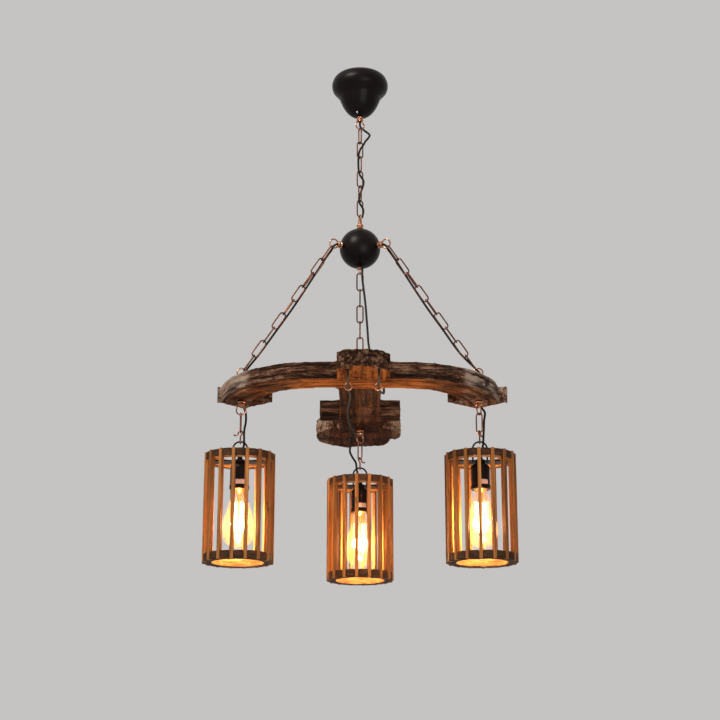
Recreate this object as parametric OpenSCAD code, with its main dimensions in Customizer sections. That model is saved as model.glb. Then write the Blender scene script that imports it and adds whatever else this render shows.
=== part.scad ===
// Rustic anchor chandelier: a timber anchor hung level on three chains under a ball hub, with
// three slatted cage shades on hooks below it. The origin is the middle of the ceiling plate,
// +Z is up and -Y is the crown of the anchor.

/* [Ceiling canopy] */
// Largest diameter of the canopy
canopy_d = 123; // [112:1:140]
// Height of the canopy
canopy_h = 95; // [90:1:110]
// Thickness of the spun sheet
sheet_t = 1.5; // [1:0.25:2.5]
// Diameter of the canopy's lower bell
neck_d = 88; // [80:1:92]
// Length of the ceiling plate
plate_l = 90; // [80:1:104]
// Width of the ceiling plate
plate_w = 22; // [18:1:30]
// Thickness of the ceiling plate
plate_t = 2.5; // [2:0.5:4]
// Distance between the two ceiling screws
screw_gap = 70; // [50:1:74]
// Diameter of the ceiling screw holes
screw_d = 5; // [4:0.5:6]
// Outer diameter of the threaded nipple
nipple_d = 10; // [9:0.5:12]

/* [Chains and eyes] */
// Wire diameter of links, eyes and hooks
wire_d = 3; // [2:0.25:3.5]
// Outer width of a chain link
link_w = 16; // [15:0.5:20]
// Link spacing of the short top chain
top_pitch = 34; // [30:0.5:40]
// Number of links in the top chain
top_links = 6; // [4:2:8]
// Link spacing of the leg chains
leg_pitch = 37; // [34:0.5:40]
// Number of links in each front leg chain
leg_links = 9; // [7:2:11]
// Turn of the top chain about the vertical
top_turn = 25; // [0:5:45]
// Diameter of an eye ring, measured on its wire's middle
eye_d = 19; // [18:0.5:24]
// Diameter of the hub's top and bottom rings, measured on their wire's middle
small_eye_d = 13; // [13:0.5:16]
// Diameter of an eye collar
collar_d = 15; // [12:0.5:18]
// Height of an eye collar
collar_h = 12; // [9:0.5:15]
// Diameter of the stud that holds an eye
stud_d = 5; // [4:0.5:6]
// Length of the stud that holds an eye
stud_l = 16; // [12:0.5:17]

/* [Hub] */
// Diameter of the ball hub
ball_d = 87; // [75:1:100]
// Height of the neck under the hub's top ring
neck_h = 9; // [3:0.5:12]
// Angle of the front eyes from straight ahead
eye_angle = 60; // [50:1:75]

/* [Timber anchor] */
// Thickness of the boards
board_t = 38; // [36:1:45]
// Width of the arms
arm_w = 74; // [64:1:80]
// Half length of the straight middle of the arms
arm_mid_l = 90; // [80:1:100]
// Sideways reach of each curved arm
arm_reach = 200; // [185:1:220]
// Rearward depth of the curve of the arms
arm_depth = 235; // [225:1:255]
// Distance from the front of the arms to the barbs
barb_back = 188; // [178:1:200]
// Reach of the left barb beyond the outside of the arm
left_barb = 10; // [8:1:25]
// Reach of the right barb beyond the outside of the arm
right_barb = 20; // [8:1:25]
// Reach of a barb beyond the inside of the arm
barb_in = 35; // [20:1:45]
// Length of a fluke point behind its barbs
point_l = 54; // [40:1:70]
// Half distance between the two arm joints
seam_x = 147; // [135:1:160]
// Width of the crown block
crown_w = 106; // [96:1:116]
// Length of the crown block in front of the arms
crown_l = 92; // [75:1:105]
// Sideways shift of the crown block
crown_shift = 7; // [0:1:10]
// How far the crown block's ends are rounded back
crown_round = 30; // [15:1:40]
// Width of the shank
shank_w = 88; // [80:1:100]
// Distance from the front of the arms to the end of the shank
shank_end = 450; // [444:1:470]
// Distance from the front of the arms to the stock
stock_back = 299; // [290:1:320]
// Depth of the stock blocks
stock_l = 48; // [40:1:52]
// Overall width of the stock
stock_w = 174; // [150:1:200]
// Nominal diameter of the hewn end disc
disc_d = 200; // [190:1:210]
// Distance from the front of the arms to the middle of the end disc
disc_back = 505; // [500:1:515]
// Distance from the front of the arms to the hub's axis
hub_back = 226; // [215:1:240]
// Sideways place of the front lamps
lamp_x = 242; // [236:1:248]
// Distance from the front of the arms to the front lamps
lamp_back = 163; // [156:1:172]
// Diameter of the dowels in the timber joints
dowel_d = 10; // [8:1:12]
// Length of the dowels in the timber joints
dowel_l = 60; // [40:1:70]

/* [Cord] */
// Diameter of the round cord
cord_d = 4.5; // [4:0.25:5]
// Diameter of the cord holes in the timber
hole_d = 9; // [7:0.5:11]
// Diameter of the small cord rings, measured on their wire's middle
ring_d = 14.5; // [13:0.5:18]
// Sideways place of the left cord ring and crown hole
left_hole_x = -23; // [-30:1:-18]
// Sideways place of the right cord ring and crown hole
right_hole_x = 36; // [30:1:40]
// Distance from the front of the arms to the cord rings
ring_back = 15; // [10:1:25]
// Distance of the crown holes in front of the arms
crown_hole = 70; // [60:1:72]
// Depth of the groove that takes the cord over the crown block
groove_h = 8; // [6:0.5:10]

/* [Hook] */
// Height of the hook between its two wire middles
hook_h = 26; // [25:0.5:34]
// Radius of a hook bend, measured on its wire's middle
hook_r = 4.5; // [4:0.25:4.5]
// Turn of the left lamp's hook about the vertical
left_turn = 0; // [0:5:60]
// Turn of the right lamp's hook about the vertical
right_turn = 60; // [0:5:60]
// Turn of the rear lamp's hook about the vertical
rear_turn = 40; // [0:5:60]

/* [Shade] */
// Outer diameter of a shade over its slats
shade_d = 144; // [134:1:160]
// Height of a shade
shade_h = 220; // [215:1:240]
// Number of slats in a shade
slat_n = 16; // [10:1:18]
// Width of a slat
slat_w = 7; // [6:0.5:10]
// Depth of a slat
slat_depth = 10; // [7:0.5:12]
// Height of a shade ring
ring_h = 17; // [12:0.5:22]
// Width of a shade ring seen from below
ring_w = 20.5; // [15:0.5:22]
// How far the slats stand proud of the rings
slat_proud = 1.5; // [0.5:0.25:3]
// Turn of the slats from straight ahead
slat_turn = -6; // [-11:1:11]
// Width of the bail
bail_w = 29; // [24:1:34]
// Height of the bail above the shade
bail_h = 28; // [26:1:34]
// Wire diameter of the bail
bail_d = 3.5; // [3:0.25:4]
// Width of the strap across the top ring
strap_w = 30; // [24:1:36]
// Thickness of the strap across the top ring
strap_t = 2.5; // [2:0.25:4]

/* [Lampholder and bulb] */
// Outer diameter of the lampholder
holder_d = 40; // [38:1:46]
// Height of the lampholder
holder_h = 55; // [50:1:60]
// Diameter of the screw cap of the bulb
cap_d = 26.4; // [26:0.1:27]
// Height of the screw cap of the bulb
cap_h = 24; // [20:1:27]
// Largest diameter of the bulb
bulb_d = 64; // [58:1:70]
// Length of the glass below the cap
bulb_l = 118; // [105:1:125]
// Number of filament legs
filament_n = 6; // [4:1:8]

/* [Fits] */
// Gap where pieces hang in or lie against each other
hang_gap = 0.3; // [0.2:0.05:0.5]
// Gap round a piece that is let into another
fit_gap = 0.1; // [0.05:0.05:0.2]

/* [Hidden] */

// Radius of the neck of an eye
neck_r = 4.2;
// Fineness of round pieces
round_fn = 48;
// Fineness of thin wire
wire_fn = 20;
// Overlap that lets a cut pass right through
past = 1;
// Distance from the rear eye to the end of the shank, as it was laid out
rear_eye_inset = 36;
// Gap between the strap's end and the slats
strap_gap = 3;
// How far a lampholder's stem stands above its strap
stem_h = 9;
// Thickness of the nut on that stem
nut_h = 4;
// Room round a bulb's cap in its lampholder
cap_gap = 0.6;

// Hanging heights, worked out downwards from the ceiling
eye_r = eye_d / 2;
wire_r = wire_d / 2;
seat = wire_d + hang_gap;
small_eye_r = small_eye_d / 2;
eye_sink = 1;
eye_reach = collar_h + eye_r - eye_sink;
loop_z = -canopy_h - eye_reach;
top_span = top_links * top_pitch + eye_r + small_eye_r - seat;
hub_ring_z = loop_z - top_span;
ball_r = ball_d / 2;
hub_z = hub_ring_z - collar_h - neck_h - small_eye_r + eye_sink - ball_r;
hub_eye_turn = top_turn + (top_links % 2 == 0 ? 90 : 0);
hub_low_z = hub_z - ball_r;

// The front legs run from the ball's side eyes to the eyes on the flukes
lamp_y = lamp_back - hub_back;
side_reach = ball_r + eye_reach;
leg_dx = lamp_x - side_reach * sin(eye_angle);
leg_dy = lamp_y + side_reach * cos(eye_angle);
leg_span = leg_links * leg_pitch + eye_d - seat;
leg_drop = sqrt(leg_span * leg_span - leg_dx * leg_dx - leg_dy * leg_dy);
fluke_ring_z = hub_z - leg_drop;
wood_top = fluke_ring_z - eye_reach;
wood_bottom = wood_top - board_t;

// The rear leg runs from the ball's bottom ring to the top of an eye over the rear lamp, with the
// even number of links that brings it nearest to the end of the shank
bottom_collar_h = 3;
bottom_ring_z = hub_z - ball_r - bottom_collar_h - small_eye_r + eye_sink;
rear_drop = bottom_ring_z - fluke_ring_z - eye_r;
rear_aim = shank_end - rear_eye_inset - hub_back;
rear_links = 2 * round((norm([rear_drop, rear_aim]) - small_eye_r + seat) / leg_pitch / 2);
rear_span = rear_links * leg_pitch + small_eye_r - seat;
rear_eye_y = sqrt(rear_span * rear_span - rear_drop * rear_drop);

// The lamp below each lamp eye
lamp_ring_z = wood_bottom - eye_reach;
link_low_z = lamp_ring_z - eye_r - leg_pitch;
hook_top_z = link_low_z + seat;
hook_low_z = hook_top_z - hook_h;
bail_r = bail_d / 2;
bail_z = hook_low_z + wire_r + bail_r + hang_gap;
shade_top = bail_z + bail_r - bail_h;
shade_bottom = shade_top - shade_h;
strap_low = shade_top - ring_h;
strap_high = strap_low + strap_t;
holder_low = strap_low - holder_h;
stem_top = strap_high + stem_h;
stem_bore = 8;
slat_r = shade_d / 2;
ring_r = slat_r - slat_proud;
ring_hole_r = slat_r - ring_w;
strap_l = 2 * (slat_r - slat_depth - strap_gap);
cap_r = cap_d / 2;
cord_r = cord_d / 2;
bore_r = cord_r + 0.4;

// Places of the eyes, relative to the hub's axis
LEFT = [-lamp_x, lamp_y];
RIGHT = [lamp_x, lamp_y];
REAR = [0, rear_eye_y];

// Chosen route of the cord beside the top chain, turned with it: across, through, height
TOP_ROUTE = [
    [0, 0, -103], [0, 0, -110], [3, 5, -116], [12, 6, -122], [21, 3, -129], [23, -1, -135],
    [18, -4, -144], [10, -6, -154], [6, -6, -162], [-5, -5, -185], [-5, -5, -228], [5, -6, -246],
    [5, -5, -258], [0, -2, -276], [-5, -5, -294], [-4, -6, -300], [5, -6, -314], [4.5, -4.5, -326],
    [3.8, -3.9, -330], [1.6, -1.6, -333.5], [0, 0, -336.5], [0, 0, -347]
];
// Chosen route of a leg cord beside its chain: inwards, sideways, distance along the chain
LEG_ROUTE = [
    [4.5, 4.5, 2], [6, 5, 12], [6, 6, 22], [6, 6, 50], [8, 6, 110], [9, 5, 170], [8, 5, 230], [7, 6, 290]
];
// Last stretch of a leg cord, from the fluke eye: sideways, rearwards, above the board
LEG_END = [[4, 14, 24], [4, 14, 10], [4, 14, -20]];
// Where the rear lamp's cord leaves the ball, beside the bottom ring
REAR_EXIT = [5, -12];
// Chosen route of that cord from the hub to the crown: sideways, rearwards from the front of
// the arms, above the board
REAR_ROUTE_TOP = [
    [5, 209, 240], [11, 188, 180], [15, 165, 120], [19, 140, 66], [31, 105, 36], [44, 85, 20], [47.5, 80, 7],
    [47.5, 80, -10]
];
// The same cord's route under the boards: sideways, rearwards, below the board
REAR_ROUTE_LOW = [
    [47.5, 80, -34], [47.5, 78, -43], [46, 68, -48], [41, 50, -50], [37, 32, -50], [36, 15, -49],
    [36, -10, -49], [36, -50, -48], [36, -64, -46], [36, -70, -39], [36, -70, -30]
];
REAR_ROUTE_CROWN = [
    [36, -70, -15], [35, -70, -8], [32, -70, -4.5], [26, -70, -3.5], [7, -70, -4], [-13, -70, -3.5],
    [-19, -70, -4.5], [-22, -70, -8], [-23, -70, -15], [-23, -70, -30]
];
REAR_ROUTE_BACK = [
    [-23, -70, -39], [-23, -64, -46], [-23, -50, -48], [-23, -10, -49], [-23, 15, -49],
    [-22, 60, -44], [-20, 120, -42], [-26, 240, -42], [-22, 340, -43]
];
// Chosen routes of the drop cords, from each lamp eye: sideways, rearwards, below the board
LEFT_DROP = [
    [4, 14, 0], [4, 14, -9], [9, 9, -24], [10, 6, -42], [7, 6, -62], [7, 6, -78], [7, 6, -92],
    [3, 3, -105]
];
RIGHT_DROP = [
    [4, 14, 0], [4, 14, -9], [12, 4, -24], [10, 3, -42], [9, 3, -62], [8, 6, -78], [7, 6, -92],
    [3, 3, -105]
];
REAR_DROP = [
    [-14, -10, -9], [-14, -2, -9], [-17, 2, -16], [-20, -2, -32], [-22, -3, -50], [-16, -4, -64],
    [-9, -6, -76], [-7, -6, -92], [-3, -3, -105]
];

function unit(v) = v / norm(v);
function pull(from, to) = unit(to - from);
function tilt_of(d) = acos(d[2]);
function heading_of(d) = atan2(d[1], d[0]);

// A point given along a direction, with its roll about that direction
function beside(from, d, roll, p) =
    let (
        t = tilt_of(d),
        h = heading_of(d),
        x = p[0] * cos(roll) - p[1] * sin(roll),
        y = p[0] * sin(roll) + p[1] * cos(roll),
        u = x * cos(t) + p[2] * sin(t),
        z = -x * sin(t) + p[2] * cos(t)
    )
    from + [u * cos(h) - y * sin(h), u * sin(h) + y * cos(h), z];

// Where each front leg starts and how it runs, side being -1 or 1
function side_dir(side) = [side * sin(eye_angle), -cos(eye_angle), 0];
function side_ring(side) = [0, 0, hub_z] + side_reach * side_dir(side);
function fluke_ring(side) = [side * lamp_x, lamp_y, fluke_ring_z];
function leg_dir(side) = pull(side_ring(side), fluke_ring(side));

// How far the ball's side ring is turned about the leg away from the upright plane
function leg_roll(side) =
    let (
        d = leg_dir(side),
        h = heading_of(d),
        upright = [-sin(h), cos(h), 0],
        n = unit(cross(d, side_dir(side))),
        turned = atan2(cross(upright, n) * d, upright * n)
    )
    turned > 90 ? turned - 180 : (turned < -90 ? turned + 180 : turned);

rear_top = [0, 0, bottom_ring_z];
rear_foot = [0, rear_eye_y, fluke_ring_z + eye_r];
rear_dir = pull(rear_top, rear_foot);

// Round stretch of an outline
function arc(cx, cy, r, from, to, steps) =
    [for (i = [0:steps]) let (a = from + (to - from) * i / steps) [cx + r * cos(a), cy + r * sin(a)]];

// Points of one side turned round to the other
function backwards(pts) = [for (i = [len(pts) - 1:-1:0]) pts[i]];

// One upright ring of a cord tube, square to the way the route runs there
function way(route, i) =
    unit(route[min(i + 1, len(route) - 1)] - route[max(i - 1, 0)]);
function across(route, i) =
    let (w = way(route, i), side = cross(w, [0.31, 0.93, 0.2]))
    unit(side);

cord_sides = 8;
function cord_skin(route) = [
    for (i = [0:len(route) - 1])
        let (w = way(route, i), a = across(route, i), b = cross(w, a))
        for (k = [0:cord_sides - 1])
            route[i] + cord_r * (cos(360 * k / cord_sides) * a + sin(360 * k / cord_sides) * b)
];
function cord_faces(n) = concat(
    [[for (k = [cord_sides - 1:-1:0]) k]],
    [
        for (i = [0:n - 2], k = [0:cord_sides - 1])
            let (a = i * cord_sides + k, b = i * cord_sides + (k + 1) % cord_sides)
            each [[a, b, b + cord_sides], [a, b + cord_sides, a + cord_sides]]
    ],
    [[for (k = [0:cord_sides - 1]) (n - 1) * cord_sides + k]]
);

module cord(route) {
    color("black") polyhedron(cord_skin(route), cord_faces(len(route)));
}

// Carries its children from +Z to a direction, rolled about it
module along(from, d, roll = 0) {
    translate(from) rotate([0, tilt_of(d), heading_of(d)]) rotate([0, 0, roll]) children();
}

// Bent wire in the XZ plane about the origin, angles counted from +X towards +Z
module wire_arc(r, d, from, sweep) {
    rotate([90, 0, 0]) rotate([0, 0, from]) rotate_extrude(angle = sweep, $fn = round_fn) {
        translate([r, 0]) circle(d = d, $fn = wire_fn);
    }
}

// Half ring of wire that opens downwards
module bow(r, d) {
    wire_arc(r, d, 0, 180);
}

// Full ring of wire in the XZ plane
module wire_ring(r, d) {
    rotate([90, 0, 0]) rotate_extrude($fn = round_fn) translate([r, 0]) circle(d = d, $fn = wire_fn);
}

// Oval chain link in the XZ plane, its upper wire's middle at the origin's height
module chain_link(pitch) {
    bend = (link_w - wire_d) / 2;
    straight = pitch + seat - 2 * bend;
    translate([0, 0, -bend]) bow(bend, wire_d);
    translate([0, 0, -bend - straight]) mirror([0, 0, 1]) bow(bend, wire_d);
    for (s = [-1, 1]) {
        translate([s * bend, 0, -bend - straight]) cylinder(d = wire_d, h = straight, $fn = wire_fn);
    }
}

// A run of links along -Z from the wire that carries them, rolling from one angle to the other
module chain(n, pitch, roll_from, roll_to) {
    for (i = [0:n - 1]) {
        roll = roll_from + (roll_to - roll_from) * (i + 0.5) / n + (i % 2 == 0 ? 90 : 0);
        translate([0, 0, seat - i * pitch]) rotate([0, 0, roll]) chain_link(pitch);
    }
}

// The turned collar under an eye, two beads with a waist between
module collar() {
    bead = collar_h / 4;
    rotate_extrude($fn = round_fn) polygon(concat(
        [[0, 0], [collar_d / 2 - bead, 0]],
        arc(collar_d / 2 - bead, bead, bead, -90, 60, 6),
        [[collar_d / 2 - bead / 2, 2 * bead]],
        arc(collar_d / 2 - bead, 3 * bead, bead, -60, 90, 6),
        [[0, collar_h]]
    ));
}

// A ring on a collar that stands on the XY plane, with a stud below and a neck between them
module eye(stud, r = eye_r, neck = 0, bored = false) {
    difference() {
        union() {
            collar();
            translate([0, 0, collar_h + neck + r - eye_sink]) wire_ring(r, wire_d);
            if (stud > 0) {
                translate([0, 0, -stud]) cylinder(d = stud_d, h = stud + past, $fn = round_fn);
            }
            if (neck > 0) {
                translate([0, 0, collar_h - past]) cylinder(d = neck_r * 2, h = neck + past, $fn = round_fn);
            }
        }
        if (bored) {
            translate([0, 0, collar_h / 2]) cylinder(r = bore_r, h = collar_h + neck, $fn = round_fn);
        }
    }
}

// The hole that takes the stud of an eye standing on the XY plane
module stud_hole() {
    translate([0, 0, -stud_l - hang_gap]) {
        cylinder(d = stud_d + 2 * fit_gap, h = stud_l + hang_gap + past, $fn = round_fn);
    }
}

module ceiling_plate() {
    color("silver") difference() {
        translate([-plate_l / 2, -plate_w / 2, -plate_t]) cube([plate_l, plate_w, plate_t]);
        for (s = [-1, 1]) {
            translate([s * screw_gap / 2, 0, -plate_t - past]) {
                cylinder(d = screw_d, h = plate_t + 2 * past, $fn = round_fn);
            }
        }
        translate([0, 0, -plate_t - past]) {
            cylinder(d = nipple_d + 2 * fit_gap, h = plate_t + 2 * past, $fn = round_fn);
        }
        ground_hole();
    }
}

ground_d = 4;
ground_x = -18;

module ground_hole() {
    translate([ground_x, 0, -plate_t - past]) {
        cylinder(d = ground_d + 2 * fit_gap, h = plate_t + 2 * past, $fn = round_fn);
    }
}

module ground_screw() {
    head_d = 2 * ground_d;
    head_h = ground_d / 2;
    shaft = plate_t + 2 * head_h;
    color("green") difference() {
        union() {
            translate([ground_x, 0, -shaft]) cylinder(d = ground_d, h = shaft, $fn = round_fn);
            translate([ground_x, 0, -plate_t - head_h]) cylinder(d = head_d, h = head_h, $fn = round_fn);
        }
        translate([ground_x - head_d, -0.4, -shaft - past]) cube([2 * head_d, 0.8, 1.5 * past]);
    }
}

module nipple() {
    color("silver") translate([0, 0, -canopy_h - collar_h / 2 + hang_gap]) difference() {
        cylinder(d = nipple_d, h = canopy_h + collar_h / 2 - hang_gap, $fn = round_fn);
        translate([0, 0, -past]) {
            cylinder(r = bore_r, h = canopy_h + collar_h / 2 + 2 * past, $fn = round_fn);
        }
    }
}

// Outline of the bell from the rim down to its foot, drawn inwards by t
function bell(t) =
    let (
        belly = 28,
        belly_z = -22,
        body = 68,
        body_z = -40,
        foot = 13,
        foot_x = 13
    )
    concat(
        arc(canopy_d / 2 - belly, belly_z, belly - t, asin(-belly_z / (belly - t)), -58, 10),
        arc(neck_d / 2 - body, body_z, body - t, -3, -34, 8),
        arc(foot_x, foot - canopy_h, foot - t, -33, -90, 6)
    );

module canopy() {
    hole = nipple_d / 2 + fit_gap;
    color("black") rotate_extrude($fn = 96) polygon(concat(
        bell(0),
        [[hole, -canopy_h], [hole, -canopy_h + sheet_t]],
        backwards(bell(sheet_t))
    ));
}

module canopy_loop() {
    color("chocolate") translate([0, 0, -canopy_h]) rotate([180, 0, top_turn]) difference() {
        eye(0, bored = true);
        translate([0, 0, -past]) {
            cylinder(d = nipple_d + 2 * fit_gap, h = collar_h / 2 + past, $fn = round_fn);
        }
        translate([0, 0, -past]) cylinder(r = bore_r, h = collar_h + past, $fn = round_fn);
    }
}

module terminal_block() {
    block = [16, 18, 14];
    color("white") translate([14, -block[1] / 2, -plate_t - block[2]]) difference() {
        cube(block);
        for (y = [0.25, 0.75]) {
            translate([-past, y * block[1], block[2] / 2]) rotate([0, 90, 0]) {
                cylinder(d = 5, h = block[0] + 2 * past, $fn = round_fn);
            }
        }
    }
}

module top_chain() {
    color("saddlebrown") translate([0, 0, loop_z - eye_r]) {
        chain(top_links, top_pitch, top_turn, top_turn);
    }
}

module top_cord() {
    rotate([0, 0, top_turn]) cord(TOP_ROUTE);
}

// Studs of the ball's four eyes
module ball_holes() {
    translate([0, 0, ball_r]) stud_hole();
    rotate([180, 0, 0]) translate([0, 0, ball_r]) stud_hole();
    for (side = [-1, 1]) {
        along([0, 0, 0], side_dir(side)) translate([0, 0, ball_r]) stud_hole();
    }
}

module hub_ball() {
    color("black") translate([0, 0, hub_z]) difference() {
        sphere(r = ball_r, $fn = 96);
        ball_holes();
        translate([REAR_EXIT[0], REAR_EXIT[1], -ball_r - past]) {
            cylinder(r = bore_r, h = ball_r / 3, $fn = round_fn);
        }
    }
}

module hub_top_eye() {
    color("chocolate") translate([0, 0, hub_z + ball_r]) rotate([0, 0, hub_eye_turn]) {
        eye(stud_l, small_eye_r, neck_h, true);
    }
}

module hub_side_eyes() {
    for (side = [-1, 1]) {
        color("chocolate") side_eye(side);
    }
}

// A side eye's ring turns with its leg, its collar and stud point straight out of the ball
module side_eye(side) {
    a = side_dir(side);
    difference() {
        union() {
            along([0, 0, hub_z] + ball_r * a, a) {
                collar();
                translate([0, 0, -stud_l]) cylinder(d = stud_d, h = stud_l + past, $fn = round_fn);
            }
            along(side_ring(side), leg_dir(side), leg_roll(side)) wire_ring(eye_r, wire_d);
        }
        along([0, 0, hub_z] + (ball_r + collar_h / 2) * a, a) cylinder(r = bore_r, h = collar_h, $fn = round_fn);
    }
}

module hub_bottom_eye() {
    color("chocolate") translate([0, 0, bottom_ring_z]) {
        rotate([0, 0, 90]) wire_ring(small_eye_r, wire_d);
        translate([0, 0, small_eye_r - eye_sink]) {
            cylinder(d = collar_d, h = bottom_collar_h, $fn = round_fn);
            cylinder(d = stud_d, h = bottom_collar_h + stud_l, $fn = round_fn);
        }
    }
}

module leg_chain(side) {
    d = leg_dir(side);
    color("saddlebrown") along(side_ring(side) + eye_r * d, -d) {
        chain(leg_links, leg_pitch, -leg_roll(side), 0);
    }
}

module left_chain() {
    leg_chain(-1);
}

module right_chain() {
    leg_chain(1);
}

module rear_chain() {
    color("saddlebrown") along(rear_top + small_eye_r * rear_dir, -rear_dir) {
        chain(rear_links, leg_pitch, 0, 0);
    }
}

// A leg cord leaves the ball's side collar, follows the chain and goes down through the fluke
function leg_cord(side) =
    let (
        a = side_dir(side),
        d = leg_dir(side),
        start = side_ring(side),
        foot = [side * lamp_x, lamp_y, wood_top],
        length = leg_links * leg_pitch
    )
    concat(
        [for (s = [ball_r + collar_h / 2 + hang_gap, ball_r + collar_h + 1]) [0, 0, hub_z] + s * a],
        [
            for (p = LEG_ROUTE)
                beside(start, d, leg_roll(side) * (1 - p[2] / length), [p[0], side * p[1], p[2]])
        ],
        [for (p = LEG_END) foot + p],
        [[foot[0] + LEG_END[2][0], foot[1] + LEG_END[2][1], wood_bottom]]
    );

module left_cord() {
    cord(leg_cord(-1));
}

module right_cord() {
    cord(leg_cord(1));
}

function over_board(p) = [p[0], p[1] - hub_back, wood_top + p[2]];

rear_cord_route = concat(
    [for (z = [8, -12]) [REAR_EXIT[0], REAR_EXIT[1], hub_low_z + z]],
    [for (p = concat(REAR_ROUTE_TOP, REAR_ROUTE_LOW, REAR_ROUTE_CROWN, REAR_ROUTE_BACK)) over_board(p)],
    [for (y = [-14, 0]) [REAR[0], REAR[1] + y, wood_bottom] + REAR_DROP[0]]
);

module rear_cord() {
    cord(rear_cord_route);
}

// Outline of one curved edge of the arms, from the straight middle to the barbs
function arm_edge(w) =
    let (
        a = arm_reach - w,
        b = arm_depth - w,
        last = acos((arm_depth - barb_back) / b)
    )
    [for (i = [0:12]) let (t = last * i / 12) [arm_mid_l + a * sin(t), arm_depth - b * cos(t)]];

// One side of the anchor's arms and fluke from above, with the front at y = 0
function arm_side(barb) =
    let (
        outer = arm_edge(0),
        inner = arm_edge(arm_w),
        out_x = outer[len(outer) - 1][0],
        in_x = inner[len(inner) - 1][0]
    )
    concat(
        outer,
        [
            [out_x + barb, barb_back - 2],
            [(out_x + in_x) / 2 - 8, barb_back + point_l],
            [in_x - barb_in, barb_back - 6]
        ],
        backwards(inner)
    );

module arm_plan() {
    polygon(concat(arm_side(right_barb), [for (p = backwards(arm_side(left_barb))) [-p[0], p[1]]]));
}

module board(t = board_t) {
    translate([0, -hub_back, wood_bottom]) linear_extrude(height = t) children();
}

// Plan of the arms between the two arm joints
module joint_zone() {
    translate([-seam_x, -past]) square([2 * seam_x, 2 * arm_depth]);
}

// Every dowel, as centre, direction and half length
dowel_spots = concat(
    [for (s = [-1, 1]) [[s * seam_x, 45, 0.5], [1, 0, 0]]],
    [for (s = [-1, 1]) [[s * seam_x, 70, 0.5], [1, 0, 0]]],
    [for (x = [0, 28]) [[x, 0, 0.5], [0, 1, 0]]],
    [for (s = [-1, 1]) [[s * 26, arm_w, 0.5], [0, 1, 0]]],
    [for (s = [-1, 1], y = [0.3, 0.7]) [[s * shank_w / 2, stock_back + y * stock_l, 0.5], [1, 0, 0]]],
    [for (s = [-1, 1]) [[s * 26, shank_end, 0.5], [0, 1, 0]]]
);

module dowel_set(d, l) {
    for (spot = dowel_spots) {
        centre = [spot[0][0], spot[0][1] - hub_back, wood_bottom + spot[0][2] * board_t];
        along(centre, spot[1]) translate([0, 0, -l / 2]) cylinder(d = d, h = l, $fn = round_fn);
    }
}

// Everything that is drilled or cut out of the boards
module board_cuts() {
    dowel_set(dowel_d + 2 * fit_gap, dowel_l + 2 * hang_gap);
    for (p = [LEFT, RIGHT, [0, rear_eye_y]]) {
        translate([p[0], p[1], wood_top]) stud_hole();
    }
    for (p = [LEFT, RIGHT, REAR]) {
        translate([p[0], p[1], wood_bottom]) rotate([180, 0, 0]) stud_hole();
    }
    for (p = [LEFT, RIGHT]) {
        translate([p[0] + LEFT_DROP[0][0], p[1] + LEFT_DROP[0][1], wood_bottom - past]) {
            cylinder(d = hole_d, h = board_t + 2 * past, $fn = round_fn);
        }
    }
    for (x = [left_hole_x, right_hole_x]) {
        translate([x, -hub_back - crown_hole, wood_bottom - past]) {
            cylinder(d = hole_d, h = board_t + 2 * past, $fn = round_fn);
        }
        translate([x, ring_back - hub_back, wood_bottom]) rotate([180, 0, 0]) ring_stud_hole();
    }
    translate([left_hole_x, -hub_back - crown_hole - bore_r, wood_top - groove_h]) {
        cube([right_hole_x - left_hole_x, 2 * bore_r, groove_h + past]);
    }
}

module crown_block() {
    left = crown_shift - crown_w / 2;
    right = crown_shift + crown_w / 2;
    color("saddlebrown") difference() {
        board() polygon(concat(
            [
                for (i = [0:12])
                    let (x = left + (right - left) * i / 12, u = 2 * x / crown_w)
                    [x, -crown_l + crown_round * u * u]
            ],
            [[right, 0], [left, 0]]
        ));
        board_cuts();
    }
}

module arms() {
    color("sienna") difference() {
        board() intersection() {
            arm_plan();
            joint_zone();
        }
        board_cuts();
    }
}

// One end of the arms beyond its joint
module fluke(side) {
    color("sienna") difference() {
        board() intersection() {
            arm_plan();
            translate([side > 0 ? seam_x : -seam_x - 2 * arm_depth, -past]) square(2 * arm_depth);
        }
        board_cuts();
    }
}

module left_fluke() {
    fluke(-1);
}

module right_fluke() {
    fluke(1);
}

module shank() {
    color("saddlebrown") difference() {
        board() translate([-shank_w / 2, arm_w]) square([shank_w, shank_end - arm_w]);
        board_cuts();
    }
}

module stock() {
    reach = (stock_w - shank_w) / 2;
    color("saddlebrown") difference() {
        board() for (s = [-1, 1]) {
            translate([s > 0 ? shank_w / 2 : -shank_w / 2 - reach, stock_back]) square([reach, stock_l]);
        }
        board_cuts();
    }
}

// Hewn outline of the end disc, in shares of its nominal diameter
DISC = [
    [0, -0.5], [-0.25, -0.47], [-0.39, -0.37], [-0.47, -0.25], [-0.5, -0.11], [-0.5, 0.06], [-0.47, 0.19],
    [-0.4, 0.31], [-0.29, 0.42], [-0.15, 0.52], [-0.07, 0.47], [0.08, 0.44], [0.26, 0.42], [0.32, 0.31],
    [0.345, 0.16], [0.35, 0.06], [0.385, 0.11], [0.44, 0.05], [0.465, -0.08], [0.46, -0.23], [0.38, -0.37],
    [0.25, -0.47]
];

module end_disc() {
    color("saddlebrown") difference() {
        board() difference() {
            translate([0, disc_back]) polygon(DISC * disc_d);
            translate([-shank_w / 2 - fit_gap, 0]) square([shank_w + 2 * fit_gap, shank_end]);
        }
        board_cuts();
    }
}

module dowels() {
    color("burlywood") dowel_set(dowel_d, dowel_l);
}

module chain_eyes() {
    for (side = [-1, 1]) {
        d = leg_dir(side);
        color("chocolate") translate([side * lamp_x, lamp_y, wood_top]) rotate([0, 0, heading_of(d)]) eye(stud_l);
    }
    color("chocolate") translate([0, rear_eye_y, wood_top]) eye(stud_l);
}

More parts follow.
